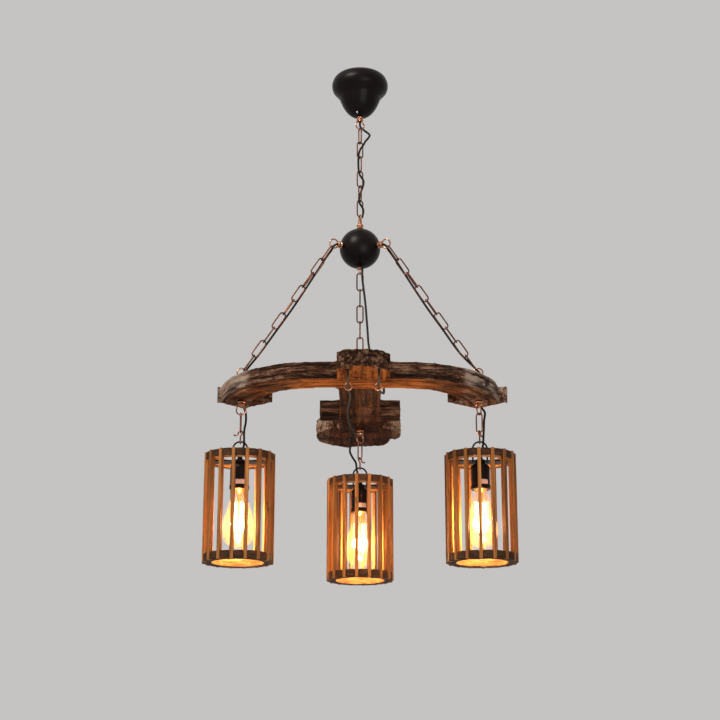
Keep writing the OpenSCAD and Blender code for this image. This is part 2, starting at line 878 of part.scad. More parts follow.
module lamp_eye(place, turn) {
    color("chocolate") translate([place[0], place[1], wood_bottom]) rotate([180, 0, turn]) eye(stud_l);
}

module lamp_eyes() {
    lamp_eye(LEFT, left_turn);
    lamp_eye(RIGHT, right_turn);
    lamp_eye(REAR, rear_turn);
}

ring_wire = 2.4;
ring_stud_l = 12;

module ring_stud_hole() {
    translate([0, 0, -ring_stud_l - hang_gap]) {
        cylinder(d = ring_wire + 2 * fit_gap, h = ring_stud_l + hang_gap + past, $fn = round_fn);
    }
}

module cord_rings() {
    for (x = [left_hole_x, right_hole_x]) {
        color("chocolate") translate([x, ring_back - hub_back, wood_bottom - ring_d / 2 - ring_wire]) {
            wire_ring(ring_d / 2, ring_wire);
            translate([0, 0, ring_d / 2]) {
                cylinder(d = ring_wire, h = ring_wire + ring_stud_l, $fn = wire_fn);
            }
        }
    }
}

module lamp_link(place, turn) {
    color("chocolate") translate([place[0], place[1], lamp_ring_z - eye_r + seat]) {
        rotate([0, 0, turn + 90]) chain_link(leg_pitch);
    }
}

// Height over which a hook's wire comes back to the middle, and the swelling at each sharp bend
hook_neck = 6;
bend_d = wire_d + 0.3;

// Upper end of the hook, round the wire that carries it and back to the middle
module hook_end() {
    shift = norm([hook_r, hook_neck]);
    translate([0, 0, -hook_r]) bow(hook_r, wire_d);
    translate([-hook_r, 0, -hook_r]) {
        sphere(d = bend_d, $fn = round_fn);
        rotate([0, 180 - atan2(hook_r, hook_neck), 0]) cylinder(d = wire_d, h = shift, $fn = wire_fn);
    }
    translate([0, 0, -hook_r - hook_neck]) sphere(d = bend_d, $fn = round_fn);
}

// Bent wire hook: an upper bend with a curled tip, and a lower bend square to it round the bail
module lamp_hook(place, turn, tip) {
    curl = 5;
    straight = hook_h - 2 * (hook_r + hook_neck);
    color("peru") translate([place[0], place[1], hook_top_z]) {
        rotate([0, 0, turn]) mirror([tip < 0 ? 1 : 0, 0, 0]) {
            hook_end();
            translate([hook_r + curl, 0, -hook_r]) wire_arc(curl, wire_d, 180, 140);
        }
        translate([0, 0, -hook_h + hook_r + hook_neck]) cylinder(d = wire_d, h = straight, $fn = wire_fn);
        translate([0, 0, -hook_h]) rotate([180, 0, 90]) hook_end();
    }
}

function drop_route(place, points) = [
    for (p = concat(points, [for (z = [4, -6]) [0, 0, stem_top + z - wood_bottom]]))
        [place[0] + p[0], place[1] + p[1], wood_bottom + p[2]]
];

// Bail and strap that carry a shade, with the nuts that hold the bail down
module lamp_hanger(place) {
    leg = bail_w / 2;
    foot = strap_low - 1;
    color("black") translate([place[0], place[1], 0]) {
        translate([0, 0, bail_z - leg]) bow(leg, bail_d);
        for (s = [-1, 1]) {
            translate([s * leg, 0, foot]) cylinder(d = bail_d, h = bail_z - leg - foot, $fn = round_fn);
        }
        difference() {
            translate([-strap_l / 2, -strap_w / 2, strap_low]) cube([strap_l, strap_w, strap_t]);
            translate([0, 0, strap_low - past]) {
                cylinder(d = nipple_d + 2 * fit_gap, h = strap_t + 2 * past, $fn = round_fn);
            }
        }
    }
}

// Plan of the slats, grown by a gap for the rebates that take them
module slat_plan(gap) {
    for (i = [0:slat_n - 1]) {
        rotate([0, 0, slat_turn + 360 * i / slat_n - 90]) {
            translate([slat_r - slat_depth - gap, -slat_w / 2 - gap]) {
                square([slat_depth + gap + (gap > 0 ? slat_r : 0), slat_w + 2 * gap]);
            }
        }
    }
}

module shade_ring(place, low, strap_cut) {
    color("saddlebrown") translate([place[0], place[1], low]) difference() {
        linear_extrude(height = ring_h) difference() {
            circle(r = ring_r, $fn = 96);
            circle(r = ring_hole_r, $fn = 96);
            slat_plan(fit_gap);
        }
        if (strap_cut) {
            translate([-strap_l / 2 - fit_gap, -strap_w / 2 - fit_gap, -past]) {
                cube([strap_l + 2 * fit_gap, strap_w + 2 * fit_gap, strap_t + past]);
            }
        }
    }
}

module lamp_slats(place) {
    color("peru") translate([place[0], place[1], shade_bottom]) linear_extrude(height = shade_h) slat_plan(0);
}

// Lampholder with its threaded stem through the strap and its lock nut above
module lampholder(place) {
    lip = 3;
    r = holder_d / 2;
    mouth = cap_r + cap_gap;
    color("black") translate([place[0], place[1], 0]) {
        difference() {
            union() {
                translate([0, 0, holder_low]) rotate_extrude($fn = round_fn) polygon(concat(
                    [[0, 0], [r - 1, 0], [r, 1], [r, 8], [r - 1, 9], [r - 1, holder_h - 12]],
                    arc(r - 1 - 9, holder_h - 9 - lip, 9, 0, 80, 6),
                    [[nipple_d, holder_h - lip], [nipple_d, holder_h], [0, holder_h]]
                ));
                translate([0, 0, strap_low]) cylinder(d = nipple_d, h = stem_top - strap_low, $fn = round_fn);
            }
            translate([0, 0, holder_low - past]) cylinder(r = mouth, h = cap_h + 4 + past, $fn = round_fn);
            translate([0, 0, stem_top - stem_bore]) cylinder(r = bore_r, h = stem_bore + past, $fn = round_fn);
        }
        translate([0, 0, strap_high]) difference() {
            cylinder(d = 1.8 * nipple_d, h = nut_h, $fn = 6);
            translate([0, 0, -past]) cylinder(d = nipple_d + 2 * fit_gap, h = nut_h + 2 * past, $fn = round_fn);
        }
    }
}

// Outline of the glass from the cap down to its tip, drawn inwards by t
function glass(t) =
    let (r = bulb_d / 2, neck = cap_r - 0.7, straight = bulb_l - r)
    concat(
        [for (i = [0:9]) let (u = i / 9) [neck - t + (r - neck) * (1 - cos(180 * pow(u, 0.8))) / 2, -straight * u]],
        [for (i = [1:8]) let (a = 90 * i / 8) [(r - t) * cos(a), -straight - (r - t) * sin(a)]]
    );

module lamp_bulb(place) {
    wall = 1;
    inner = glass(wall);
    last = len(inner) - 1;
    color("orange") translate([place[0], place[1], holder_low]) rotate_extrude($fn = round_fn) {
        polygon(concat(glass(0), backwards([for (i = [0:last]) i == last ? [0, inner[last][1]] : inner[i]])));
    }
}

// Screw cap with its contact, the glass stem and rod in the bulb, and the long filament
module bulb_base(place) {
    stem_l = 26;
    rod_l = 86;
    rod_r = 1.5;
    cage_r = 9;
    wire = 0.8;
    color("goldenrod") translate([place[0], place[1], holder_low]) {
        rotate_extrude($fn = round_fn) polygon([
            [0, -rod_l], [rod_r, -rod_l], [rod_r, -stem_l], [4, -8], [cap_r - 2, 0], [cap_r, 0.5],
            [cap_r, cap_h - 5], [6, cap_h - 2], [4.5, cap_h - 1], [4.5, cap_h], [0, cap_h]
        ]);
        for (i = [0:filament_n - 1]) {
            rotate([0, 0, 360 * i / filament_n]) {
                for (z = [-stem_l - 2, -rod_l + 2]) {
                    translate([0, 0, z]) rotate([0, 90, 0]) cylinder(d = 1.2 * wire, h = cage_r + wire, $fn = 16);
                }
                translate([cage_r, 0, -rod_l + 1]) cylinder(d = wire, h = rod_l - stem_l - 2, $fn = 16);
            }
        }
    }
}

module left_link() { lamp_link(LEFT, left_turn); }
module left_hook() { lamp_hook(LEFT, left_turn, -1); }
module left_drop_cord() { cord(drop_route(LEFT, LEFT_DROP)); }
module left_hanger() { lamp_hanger(LEFT); }
module left_top_ring() { shade_ring(LEFT, strap_low, true); }
module left_bottom_ring() { shade_ring(LEFT, shade_bottom, false); }
module left_slats() { lamp_slats(LEFT); }
module left_lampholder() { lampholder(LEFT); }
module left_bulb_base() { bulb_base(LEFT); }
module left_bulb() { lamp_bulb(LEFT); }

module right_link() { lamp_link(RIGHT, right_turn); }
module right_hook() { lamp_hook(RIGHT, right_turn, 1); }
module right_drop_cord() { cord(drop_route(RIGHT, RIGHT_DROP)); }
module right_hanger() { lamp_hanger(RIGHT); }
module right_top_ring() { shade_ring(RIGHT, strap_low, true); }
module right_bottom_ring() { shade_ring(RIGHT, shade_bottom, false); }
module right_slats() { lamp_slats(RIGHT); }
module right_lampholder() { lampholder(RIGHT); }
module right_bulb_base() { bulb_base(RIGHT); }
module right_bulb() { lamp_bulb(RIGHT); }

module rear_link() { lamp_link(REAR, rear_turn); }
module rear_hook() { lamp_hook(REAR, rear_turn, 1); }
module rear_drop_cord() { cord(drop_route(REAR, REAR_DROP)); }
module rear_hanger() { lamp_hanger(REAR); }
module rear_top_ring() { shade_ring(REAR, strap_low, true); }
module rear_bottom_ring() { shade_ring(REAR, shade_bottom, false); }
module rear_slats() { lamp_slats(REAR); }
module rear_lampholder() { lampholder(REAR); }
module rear_bulb_base() { bulb_base(REAR); }
module rear_bulb() { lamp_bulb(REAR); }

ceiling_plate();
ground_screw();
nipple();
canopy();
canopy_loop();
terminal_block();
top_chain();
top_cord();
hub_ball();
hub_top_eye();
hub_side_eyes();
hub_bottom_eye();
left_chain();
right_chain();
rear_chain();
left_cord();
right_cord();
rear_cord();
crown_block();
arms();
left_fluke();
right_fluke();
shank();
stock();
end_disc();
dowels();
chain_eyes();
lamp_eyes();
cord_rings();
left_link();
left_hook();
left_drop_cord();
left_hanger();
left_top_ring();
left_bottom_ring();
left_slats();
left_lampholder();
left_bulb_base();
left_bulb();
right_link();
right_hook();
right_drop_cord();
right_hanger();
right_top_ring();
right_bottom_ring();
right_slats();
right_lampholder();
right_bulb_base();
right_bulb();
rear_link();
rear_hook();
rear_drop_cord();
rear_hanger();
rear_top_ring();
rear_bottom_ring();
rear_slats();
rear_lampholder();
rear_bulb_base();
rear_bulb();
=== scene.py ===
# %% [markdown]
# An anchor of hewn timber hangs level under a ball hub. Three chains carry it, a fourth goes up
# to a bell-shaped canopy, and three slatted shades with long-filament bulbs hang on hooks below.
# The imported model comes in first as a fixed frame. Places and main sizes are read from it, so
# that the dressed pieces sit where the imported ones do, and small sizes are named values.

# %% Load the frame
import math

import bmesh
import bpy
import numpy as np
from mathutils import Matrix, Vector, noise
from mathutils.bvhtree import BVHTree


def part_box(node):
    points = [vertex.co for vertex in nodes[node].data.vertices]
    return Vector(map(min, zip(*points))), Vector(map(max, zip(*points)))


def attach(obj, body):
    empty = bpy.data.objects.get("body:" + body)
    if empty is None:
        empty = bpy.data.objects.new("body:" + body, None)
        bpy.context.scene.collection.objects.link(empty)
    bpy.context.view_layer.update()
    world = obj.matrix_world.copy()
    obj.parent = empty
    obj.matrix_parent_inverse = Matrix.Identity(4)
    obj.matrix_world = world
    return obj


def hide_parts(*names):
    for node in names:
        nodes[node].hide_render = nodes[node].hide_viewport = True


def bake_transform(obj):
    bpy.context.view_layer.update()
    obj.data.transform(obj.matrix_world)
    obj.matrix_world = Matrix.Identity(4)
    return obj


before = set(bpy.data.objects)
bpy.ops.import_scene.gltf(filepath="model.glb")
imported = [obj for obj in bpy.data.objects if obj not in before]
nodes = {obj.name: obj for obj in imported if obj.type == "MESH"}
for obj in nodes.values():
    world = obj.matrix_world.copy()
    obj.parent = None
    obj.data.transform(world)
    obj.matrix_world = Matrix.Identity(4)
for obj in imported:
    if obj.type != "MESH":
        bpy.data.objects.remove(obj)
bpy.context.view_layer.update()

MM = 0.001

# %% [markdown]
# A few places come up again and again: the timber's top and bottom, the middle of the ball and
# the place of each lamp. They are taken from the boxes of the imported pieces. Plan positions are
# counted rearwards from the front edge of the arms, as a joiner would mark them out.

# %% Places on the anchor
LAMPS = ("left", "right", "rear")
FRAME, CHAIN, CANOPY = "anchor_frame", "top_chain_set", "canopy_set"


def low(node):
    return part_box(node)[0]


def high(node):
    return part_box(node)[1]


def middle(node):
    return (low(node) + high(node)) / 2


def over(lamp, z):
    """The point at a height on the line that a lamp hangs on."""
    return Vector((place[lamp].x, place[lamp].y, z))


def shown(spot):
    return tuple(round(c, 4) for c in spot)


wood_top = high("shank").z
wood_bottom = low("shank").z
front_y = low("arms").y
hub = middle("hub_ball")
ball_r = (high("hub_ball").z - low("hub_ball").z) / 2
place = {lamp: middle(f"{lamp}_bulb") for lamp in LAMPS}
print("timber from", round(wood_bottom, 4), "to", round(wood_top, 4), "hub at", shown(hub))

# %% [markdown]
# The photograph was taken from below, with the camera tilted up, so verticals lean in slightly
# towards the top. The camera stands in front of the crown of the anchor. Its distance, height,
# tilt and lens were reckoned from where canopy, ball, timber and shades appear in the picture.

# %% Camera
CAMERA_AWAY = 2.915
CAMERA_LOW = 1.552
PITCH_UP = 16.03
FOCAL, SENSOR = 78.03, 36


def add(name, data):
    """Puts a mesh, a light or a camera in the scene."""
    piece = bpy.data.objects.new(name, data)
    bpy.context.scene.collection.objects.link(piece)
    return piece


camera_data = bpy.data.cameras.new("camera")
camera_data.lens, camera_data.sensor_width = FOCAL, SENSOR
camera = add("camera", camera_data)
camera.location = (0, front_y - CAMERA_AWAY, -CAMERA_LOW)
camera.rotation_euler = (math.radians(90 + PITCH_UP), 0, 0)
bpy.context.scene.camera = camera
print("camera at", shown(camera.location))

# %% [markdown]
# The cords come next. Each is a round black flex that follows listed points beside its
# chain. A smooth curve through the points gives the centreline, and a ring of vertices carried
# along it without twisting gives the tube.

# %% Smooth routes
CORD_D = 4.5 * MM
CORD_SIDES = 14
CORD_POINTS = 38
CORD_STEP = 4 * MM


def smooth(points, step=CORD_STEP):
    """Points every step along a Catmull-Rom curve through the given points."""
    pts = [Vector(p) for p in points]
    pts = [2 * pts[0] - pts[1]] + pts + [2 * pts[-1] - pts[-2]]
    out = []
    for a, b, c, d in zip(pts, pts[1:], pts[2:], pts[3:]):
        count = max(2, math.ceil((c - b).length / step))
        for t in (i / count for i in range(count)):
            start = 2 * b + (c - a) * t + (2 * a - 5 * b + 4 * c - d) * t ** 2
            out.append(0.5 * (start + (3 * b - a - 3 * c + d) * t ** 3))
    out.append(pts[-2])
    return out


def thinned(path):
    """Leaves out the points that bend the path least, until few enough are left."""
    kept = list(path)
    while len(kept) > CORD_POINTS:
        bends = [(b - a).cross(c - b).length for a, b, c in zip(kept, kept[1:], kept[2:])]
        kept.pop(bends.index(min(bends)) + 1)
    return kept


def directions(path):
    """The way that an open path runs at each of its points."""
    last = len(path) - 1
    return [(path[min(i + 1, last)] - path[max(i - 1, 0)]).normalized() for i in range(last + 1)]


# %% Tubes
def ring(centre, radius, side, up, sides):
    """Points of a round section, evenly round its centre."""
    turns = (2 * math.pi * k / sides for k in range(sides))
    return [centre + radius * (math.cos(a) * side + math.sin(a) * up) for a in turns]


def skin(rings, sides, closed=False):
    """Faces from each ring of points to the next. A closed run has no ends, and others are capped."""
    faces = []
    for i in range(rings if closed else rings - 1):
        here, there = i * sides, (i + 1) % rings * sides
        for k in range(sides):
            n = (k + 1) % sides
            faces.append((here + k, here + n, there + n, there + k))
    if not closed:
        faces += [tuple(reversed(range(sides))), tuple(range((rings - 1) * sides, rings * sides))]
    return faces


def plain_mesh(name, vertices, faces):
    mesh = bpy.data.meshes.new(name)
    mesh.from_pydata(vertices, [], faces)
    return mesh


def tube_mesh(name, path, radius, sides=CORD_SIDES):
    """A closed tube along the path, with u round it and v along it in metres."""
    vertices, uvs, far = [], [], 0.0
    ways = directions(path)
    side = ways[0].orthogonal().normalized()
    for i, (p, way) in enumerate(zip(path, ways)):
        side = (side - way * side.dot(way)).normalized()
        vertices += ring(p, radius, side, way.cross(side), sides)
        far += (p - path[i - 1]).length if i else 0
        uvs += [(k / sides, far) for k in range(sides)]
    mesh = plain_mesh(name, vertices, skin(len(path), sides))
    layer = mesh.uv_layers.new(name="run")
    for loop in mesh.loops:
        layer.data[loop.index].uv = uvs[loop.vertex_index]
    mesh.polygons.foreach_set("use_smooth", [len(p.vertices) == 4 for p in mesh.polygons])
    return mesh


def dress(piece, material):
    piece.data.materials.clear()
    piece.data.materials.append(material)
    return piece


# %% [markdown]
# Flex has a dull black sheath, a little lighter where it has been handled. Its material reads the
# tube's own UV map, so that the faint twist of the cores under the sheath follows the cord.

# %% Material helpers
def new_material(name):
    material = bpy.data.materials.new(name)
    material.use_nodes = True
    return material, material.node_tree, material.node_tree.nodes["Principled BSDF"]


def plug(tree, socket, value):
    """Links a socket to another one, or sets the value that it has all over."""
    if isinstance(value, bpy.types.NodeSocket):
        tree.links.new(value, socket)
    else:
        socket.default_value = (*value, 1) if socket.type == "RGBA" else value


def feed(tree, made, **values):
    """Gives a node its own settings and its inputs, each by name."""
    for key, value in values.items():
        if hasattr(made, key):
            setattr(made, key, value)
        else:
            plug(tree, made.inputs[key.replace("_", " ")], value)
    return made


def node(tree, kind, **values):
    return feed(tree, tree.nodes.new(kind), **values)


def ramp(tree, source, *stops):
    made = node(tree, "ShaderNodeValToRGB", Fac=source)
    elements = made.color_ramp.elements
    while len(elements) < len(stops):
        elements.new(0.5)
    for element, (at, colour) in zip(elements, stops):
        element.position = at
        element.color = (*colour, 1)
    return made.outputs["Color"]


def bump(tree, shader, height, strength, distance):
    made = node(tree, "ShaderNodeBump", Strength=strength, Distance=distance, Height=height)
    feed(tree, shader, Normal=made.outputs["Normal"])


def stretched(tree, scale=(1, 1, 1), source="Object"):
    coordinates = node(tree, "ShaderNodeTexCoord").outputs[source]
    return node(tree, "ShaderNodeMapping", Vector=coordinates, Scale=scale).outputs["Vector"]


def noise_of(tree, vector, scale, detail=4.0, rough=0.55, distortion=0.0):
    return node(tree, "ShaderNodeTexNoise", Vector=vector, Scale=scale, Detail=detail, Roughness=rough,
                Distortion=distortion).outputs["Fac"]


# %% Flex sheath
def make_flex():
    material, tree, shader = new_material("flex_sheath")
    twist = node(tree, "ShaderNodeTexWave", Vector=stretched(tree, (1, 260, 1), "UV"), Scale=1.0,
                 Distortion=0.4, Detail=2.0, bands_direction="DIAGONAL")
    dust = noise_of(tree, stretched(tree), 60)
    black = ramp(tree, dust, (0.3, (0.003, 0.003, 0.003)), (0.8, (0.012, 0.010, 0.009)))
    feed(tree, shader, Base_Color=black, Roughness=0.6, Specular_IOR_Level=0.2)
    bump(tree, shader, twist.outputs["Fac"], 0.35, 0.0004)
    return material


flex = make_flex()
print("material", flex.name)

# %% [markdown]
# The cord beside the top chain crosses two joints, at the canopy's ring and at the hub's ring. It
# is made in two lengths that meet halfway, and each crosses one of the joints.

# %% Cord beside the top chain
CHAIN_TURN = math.radians(25)
UPPER_BEND, LOWER_BEND = (0.02, -0.03), (0.03, -0.01)
TOP_ROUTE = [
    (0, 0, -103), (0, 0, -110), (3, 5, -116), (12, 6, -122), (21, 3, -129), (23, -1, -135),
    (18, -4, -144), (10, -6, -154), (6, -6, -162), (-5, -5, -185), (-5, -5, -228), (5, -6, -246),
    (5, -5, -258), (0, -2, -276), (-5, -5, -294), (-4, -6, -300), (5, -6, -314), (4.5, -4.5, -326),
    (3.8, -3.9, -330), (1.6, -1.6, -333.5), (0, 0, -336.5), (0, 0, -347),
]


def lay_cord(name, path, cad_node, body=None, across=None):
    """A free length of flex that rides on one body, or lies fixed where it is laid across the joint of two.
    """
    piece = dress(add(name, tube_mesh(name, path, CORD_D / 2)), flex)
    if across:
        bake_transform(piece)
    else:
        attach(piece, body)
    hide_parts(cad_node)
    [tuple(p) for p in thinned(path)]


turn = Matrix.Rotation(CHAIN_TURN, 3, "Z")
top_path = smooth([turn @ (MM * Vector(p)) for p in TOP_ROUTE])
halfway = len(top_path) // 2
ring_z = low("canopy_loop").z
hub_ring_z = high("hub_top_eye").z
lay_cord("top_cord_upper", top_path[:halfway + 1], "top_cord",
         across=(CANOPY, CHAIN, *[(0, 0, ring_z + z) for z in UPPER_BEND]))
lay_cord("top_cord_lower", top_path[halfway:], "top_cord",
         across=(CHAIN, FRAME, *[(0, 0, hub_ring_z + z) for z in LOWER_BEND]))

# %% [markdown]
# A leg cord leaves the copper collar of a side eye, runs beside its chain and drops through a hole
# in the fluke. Its points are counted in the chain's own directions: across it, sideways and
# along it, so the same few numbers serve both legs.

# %% Cords beside the front legs
EYE_ANGLE = math.radians(60)
COLLAR_H = 12 * MM
EYE_R = 9.5 * MM
EYE_SUNK = 1 * MM
LEG_ROUTE = [
    (4.5, 4.5, 2), (6, 5, 12), (6, 6, 22), (6, 6, 50), (8, 6, 110), (9, 5, 170), (8, 5, 230), (7, 6, 290),
]
LEG_END = [(4, 14, 24), (4, 14, 10), (4, 14, -20)]
LEG_LINKS = 9
side_reach = ball_r + COLLAR_H + EYE_R - EYE_SUNK


def turned_to(way):
    """The turn that tips the upright axis over and round until it points along a direction."""
    tilt, heading = math.acos(way.z), math.atan2(way.y, way.x)
    return Matrix.Rotation(heading, 3, "Z") @ Matrix.Rotation(tilt, 3, "Y")


def leg(side):
    """A leg's way out of the ball, its start at the side eye, direction, roll about it, and foot."""
    out = Vector((side * math.sin(EYE_ANGLE), -math.cos(EYE_ANGLE), 0))
    start = hub + side_reach * out
    foot = over("right" if side > 0 else "left", wood_top + COLLAR_H + EYE_R - EYE_SUNK)
    way = (foot - start).normalized()
    unrolled, square = turned_to(way).col[1], way.cross(out).normalized()
    roll = math.atan2(unrolled.cross(square).dot(way), unrolled.dot(square))
    roll = (roll + math.pi / 2) % math.pi - math.pi / 2
    return out, start, way, roll, foot


def leg_path(side):
    out, start, way, roll, foot = leg(side)
    length = (foot - start).length
    points = [hub + s * out for s in (ball_r + COLLAR_H / 2, ball_r + COLLAR_H + 1 * MM)]
    for across, sideways, along in LEG_ROUTE:
        rolled = Matrix.Rotation(roll * (1 - along * MM / length), 3, "Z")
        local = rolled @ (MM * Vector((across, side * sideways, along)))
        points.append(start + turned_to(way) @ local)
    board = Vector((foot.x, foot.y, wood_top))
    points += [board + MM * Vector(p) for p in LEG_END]
    points.append(Vector((points[-1].x, points[-1].y, wood_bottom)))
    return smooth(points)


for side, name in ((-1, "left_cord"), (1, "right_cord")):
    lay_cord(name + "_flex", leg_path(side), name, body=FRAME)

# %% [markdown]
# The rear lamp's cord takes the long way that the photograph shows: down from the ball, round the
# corner of the shank, forward under the arms through a small ring, over the top of the crown and
# back through the other ring to the rear lamp. It is made in two lengths that meet on the crown.

# %% Cord of the rear lamp
REAR_EXIT = [(5, -12, 8), (5, -12, -12)]
ON_CROWN = (7, -70, -4)
REAR_ROUTE = [
    (5, 209, 240), (11, 188, 180), (15, 165, 120), (19, 140, 66), (31, 105, 36), (44, 85, 20),
    (47.5, 80, 7), (47.5, 80, -10), (47.5, 80, -34), (47.5, 78, -43), (46, 68, -48), (41, 50, -50),
    (37, 32, -50), (36, 15, -49), (36, -10, -49), (36, -50, -48), (36, -64, -46), (36, -70, -39),
    (36, -70, -30), (36, -70, -15), (35, -70, -8), (32, -70, -4.5), (26, -70, -3.5), ON_CROWN,
    (-13, -70, -3.5), (-19, -70, -4.5), (-22, -70, -8), (-23, -70, -15), (-23, -70, -30),
    (-23, -70, -39), (-23, -64, -46), (-23, -50, -48), (-23, -10, -49), (-23, 15, -49),
    (-22, 60, -44), (-20, 120, -42), (-26, 240, -42), (-22, 340, -43),
]
REAR_DROP = [
    (-14, -10, -9), (-14, -2, -9), (-17, 2, -16), (-20, -2, -32), (-22, -3, -50), (-16, -4, -64),
    (-9, -6, -76), (-7, -6, -92), (-3, -3, -105),
]


def over_board(p):
    return Vector((p[0] * MM, front_y + p[1] * MM, wood_top + p[2] * MM))


ball_low = hub.z - ball_r
rear_points = [Vector((x * MM, hub.y + y * MM, ball_low + z * MM)) for x, y, z in REAR_EXIT]
rear_points += [over_board(p) for p in REAR_ROUTE]
rear_start = over("rear", wood_bottom) + MM * Vector(REAR_DROP[0])
rear_points += [rear_start - Vector((0, 14 * MM, 0)), rear_start]
rear_path = smooth(rear_points)
crown_top = min(range(len(rear_path)), key=lambda i: (rear_path[i] - over_board(ON_CROWN)).length)
lay_cord("rear_cord_front", rear_path[:crown_top + 1], "rear_cord", body=FRAME)
lay_cord("rear_cord_back", rear_path[crown_top:], "rear_cord", body=FRAME)

# %% [markdown]
# A drop cord hangs in a loose curve beside the link and hook that carry its lamp. Three joints lie
# along it, so it comes in three lengths, each crossing one joint.

# %% Drop cords
DROPS = {
    "left": [
        (4, 14, 0), (4, 14, -9), (9, 9, -24), (10, 6, -42), (7, 6, -62), (7, 6, -78), (7, 6, -92),
        (3, 3, -105),
    ],
    "right": [
        (4, 14, 0), (4, 14, -9), (12, 4, -24), (10, 3, -42), (9, 3, -62), (8, 6, -78), (7, 6, -92),
        (3, 3, -105),
    ],
    "rear": REAR_DROP,
}
BEND_REACH = 12 * MM
DROP_STEP = 2.5 * MM


def parted(path, levels):
    """Cuts a falling path below each level. Two parts share the point at their cut."""
    cuts = [next(i for i, p in enumerate(path) if p.z < level) for level in levels]
    return [path[a:b + 1] for a, b in zip([0] + cuts, cuts + [len(path) - 1])]


def drop_cord(lamp):
    stem_top = high(f"{lamp}_lampholder").z
    points = [over(lamp, wood_bottom) + MM * Vector(p) for p in DROPS[lamp]]
    points += [over(lamp, stem_top + z * MM) for z in (4, -6)]
    joints = [high(f"{lamp}_link").z, high(f"{lamp}_hook").z, low(f"{lamp}_hook").z]
    bodies = [FRAME, f"{lamp}_link_set", f"{lamp}_hook_set", f"{lamp}_lamp"]
    halfways = [(a + b) / 2 for a, b in zip(joints, joints[1:])]
    for i, part in enumerate(parted(smooth(points, DROP_STEP), halfways)):
        start, end = (tuple(over(lamp, joints[i] + z)) for z in (BEND_REACH, -BEND_REACH))
        lay_cord(f"{lamp}_drop_{i + 1}", part, f"{lamp}_drop_cord", across=(*bodies[i:i + 2], start, end))


for lamp in LAMPS:
    drop_cord(lamp)

# %% [markdown]
# Three metal finishes are in sight: satin black paint on canopy, ball and lampholders, copper
# plating on the eyes, links and hooks, and a darker bronze on the chains, with copper showing
# through in blotches. Zinc, a green-dipped screw and brass screw caps are mostly hidden. Blotches
# of two noise scales keep a plated or painted surface from looking like plastic.

# %% Mixing helpers
def math_node(tree, operation, *values):
    made = node(tree, "ShaderNodeMath", operation=operation)
    for socket, value in zip(made.inputs, values):
        plug(tree, socket, value)
    return made.outputs[0]


def times(tree, a, b):
    return math_node(tree, "MULTIPLY", a, b)


def plus(tree, a, b):
    return math_node(tree, "ADD", a, b)


def mask(tree, source, start, full):
    return ramp(tree, source, (start, (0, 0, 0)), (full, (1, 1, 1)))


def spread(tree, source, least, most):
    return node(tree, "ShaderNodeMapRange", Value=source, To_Min=least, To_Max=most).outputs["Result"]


def mixed(tree, factor, a, b):
    made = node(tree, "ShaderNodeMix", data_type="RGBA")
    for index, value in ((0, factor), (6, a), (7, b)):
        plug(tree, made.inputs[index], value)
    return made.outputs[2]


def attribute(tree, name):
    return node(tree, "ShaderNodeAttribute", attribute_name=name).outputs["Fac"]


# %% Metals
def make_metal(name, dark, light, rough, metallic, scale, shine=0.35, grit=0.15):
    material, tree, shader = new_material(name)
    blotch = noise_of(tree, stretched(tree), scale, 6.0, 0.65, 0.3)
    fine = noise_of(tree, stretched(tree), scale * 9, 3.0)
    tone = mixed(tree, 0.35, ramp(tree, blotch, (0.32, dark), (0.68, light)),
                 ramp(tree, fine, (0.3, dark), (0.7, light)))
    feed(tree, shader, Base_Color=tone, Roughness=spread(tree, blotch, *rough), Metallic=metallic,
         Specular_IOR_Level=shine)
    bump(tree, shader, fine, grit, 0.0003)
    return material


black_paint = make_metal("satin_black", (0.003, 0.0018, 0.0016), (0.009, 0.005, 0.004), (0.30, 0.42),
                         0.15, 14, shine=0.13, grit=0.05)
copper = make_metal("copper_plating", (0.12, 0.040, 0.018), (0.90, 0.44, 0.26), (0.13, 0.26), 1.0, 110)
old_copper = make_metal("dulled_copper", (0.026, 0.010, 0.006), (0.52, 0.21, 0.11), (0.22, 0.38), 1.0, 70)
bronze = make_metal("chain_bronze", (0.006, 0.003, 0.0025), (0.26, 0.095, 0.048), (0.22, 0.42), 1.0, 75)
# A lighter copy of the copper for the small cord rings under the arms, painted lighter so that they read as
# lit there.
copper_painted_lit = make_metal("copper_painted_lit", (0.60, 0.25, 0.13), (0.95, 0.58, 0.40), (0.16, 0.28), 1.0, 90)
zinc = make_metal("zinc_plate", (0.50, 0.50, 0.48), (0.66, 0.66, 0.64), (0.28, 0.45), 1.0, 60)
green_dip = make_metal("green_dip", (0.05, 0.20, 0.08), (0.10, 0.34, 0.15), (0.35, 0.5), 0.4, 60)
cap_brass = make_metal("cap_brass", (0.45, 0.34, 0.16), (0.70, 0.56, 0.30), (0.22, 0.38), 1.0, 80)
cream = make_metal("cream_moulding", (0.70, 0.66, 0.58), (0.80, 0.77, 0.70), (0.25, 0.4), 0.0, 40)

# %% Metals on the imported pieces
KEPT = {
    "canopy": black_paint, "hub_ball": black_paint, "ceiling_plate": zinc, "nipple": zinc,
    "ground_screw": green_dip, "terminal_block": cream, "canopy_loop": copper, "hub_top_eye": copper,
    "hub_side_eyes": copper, "hub_bottom_eye": copper, "chain_eyes": copper, "lamp_eyes": copper,
    "cord_rings": copper_painted_lit,
}
for lamp in LAMPS:
    KEPT[f"{lamp}_hanger"] = black_paint
    KEPT[f"{lamp}_lampholder"] = black_paint
    KEPT[f"{lamp}_hook"] = old_copper
    KEPT[f"{lamp}_bulb_base"] = cap_brass


def paint(cad_name, material):
    piece = nodes[cad_name]
    if not piece.material_slots:
        piece.data.materials.append(material)
    for slot in piece.material_slots:
        slot.material = material


for cad_name, material in KEPT.items():
    paint(cad_name, material)
print("painted", len(KEPT), "packed pieces")

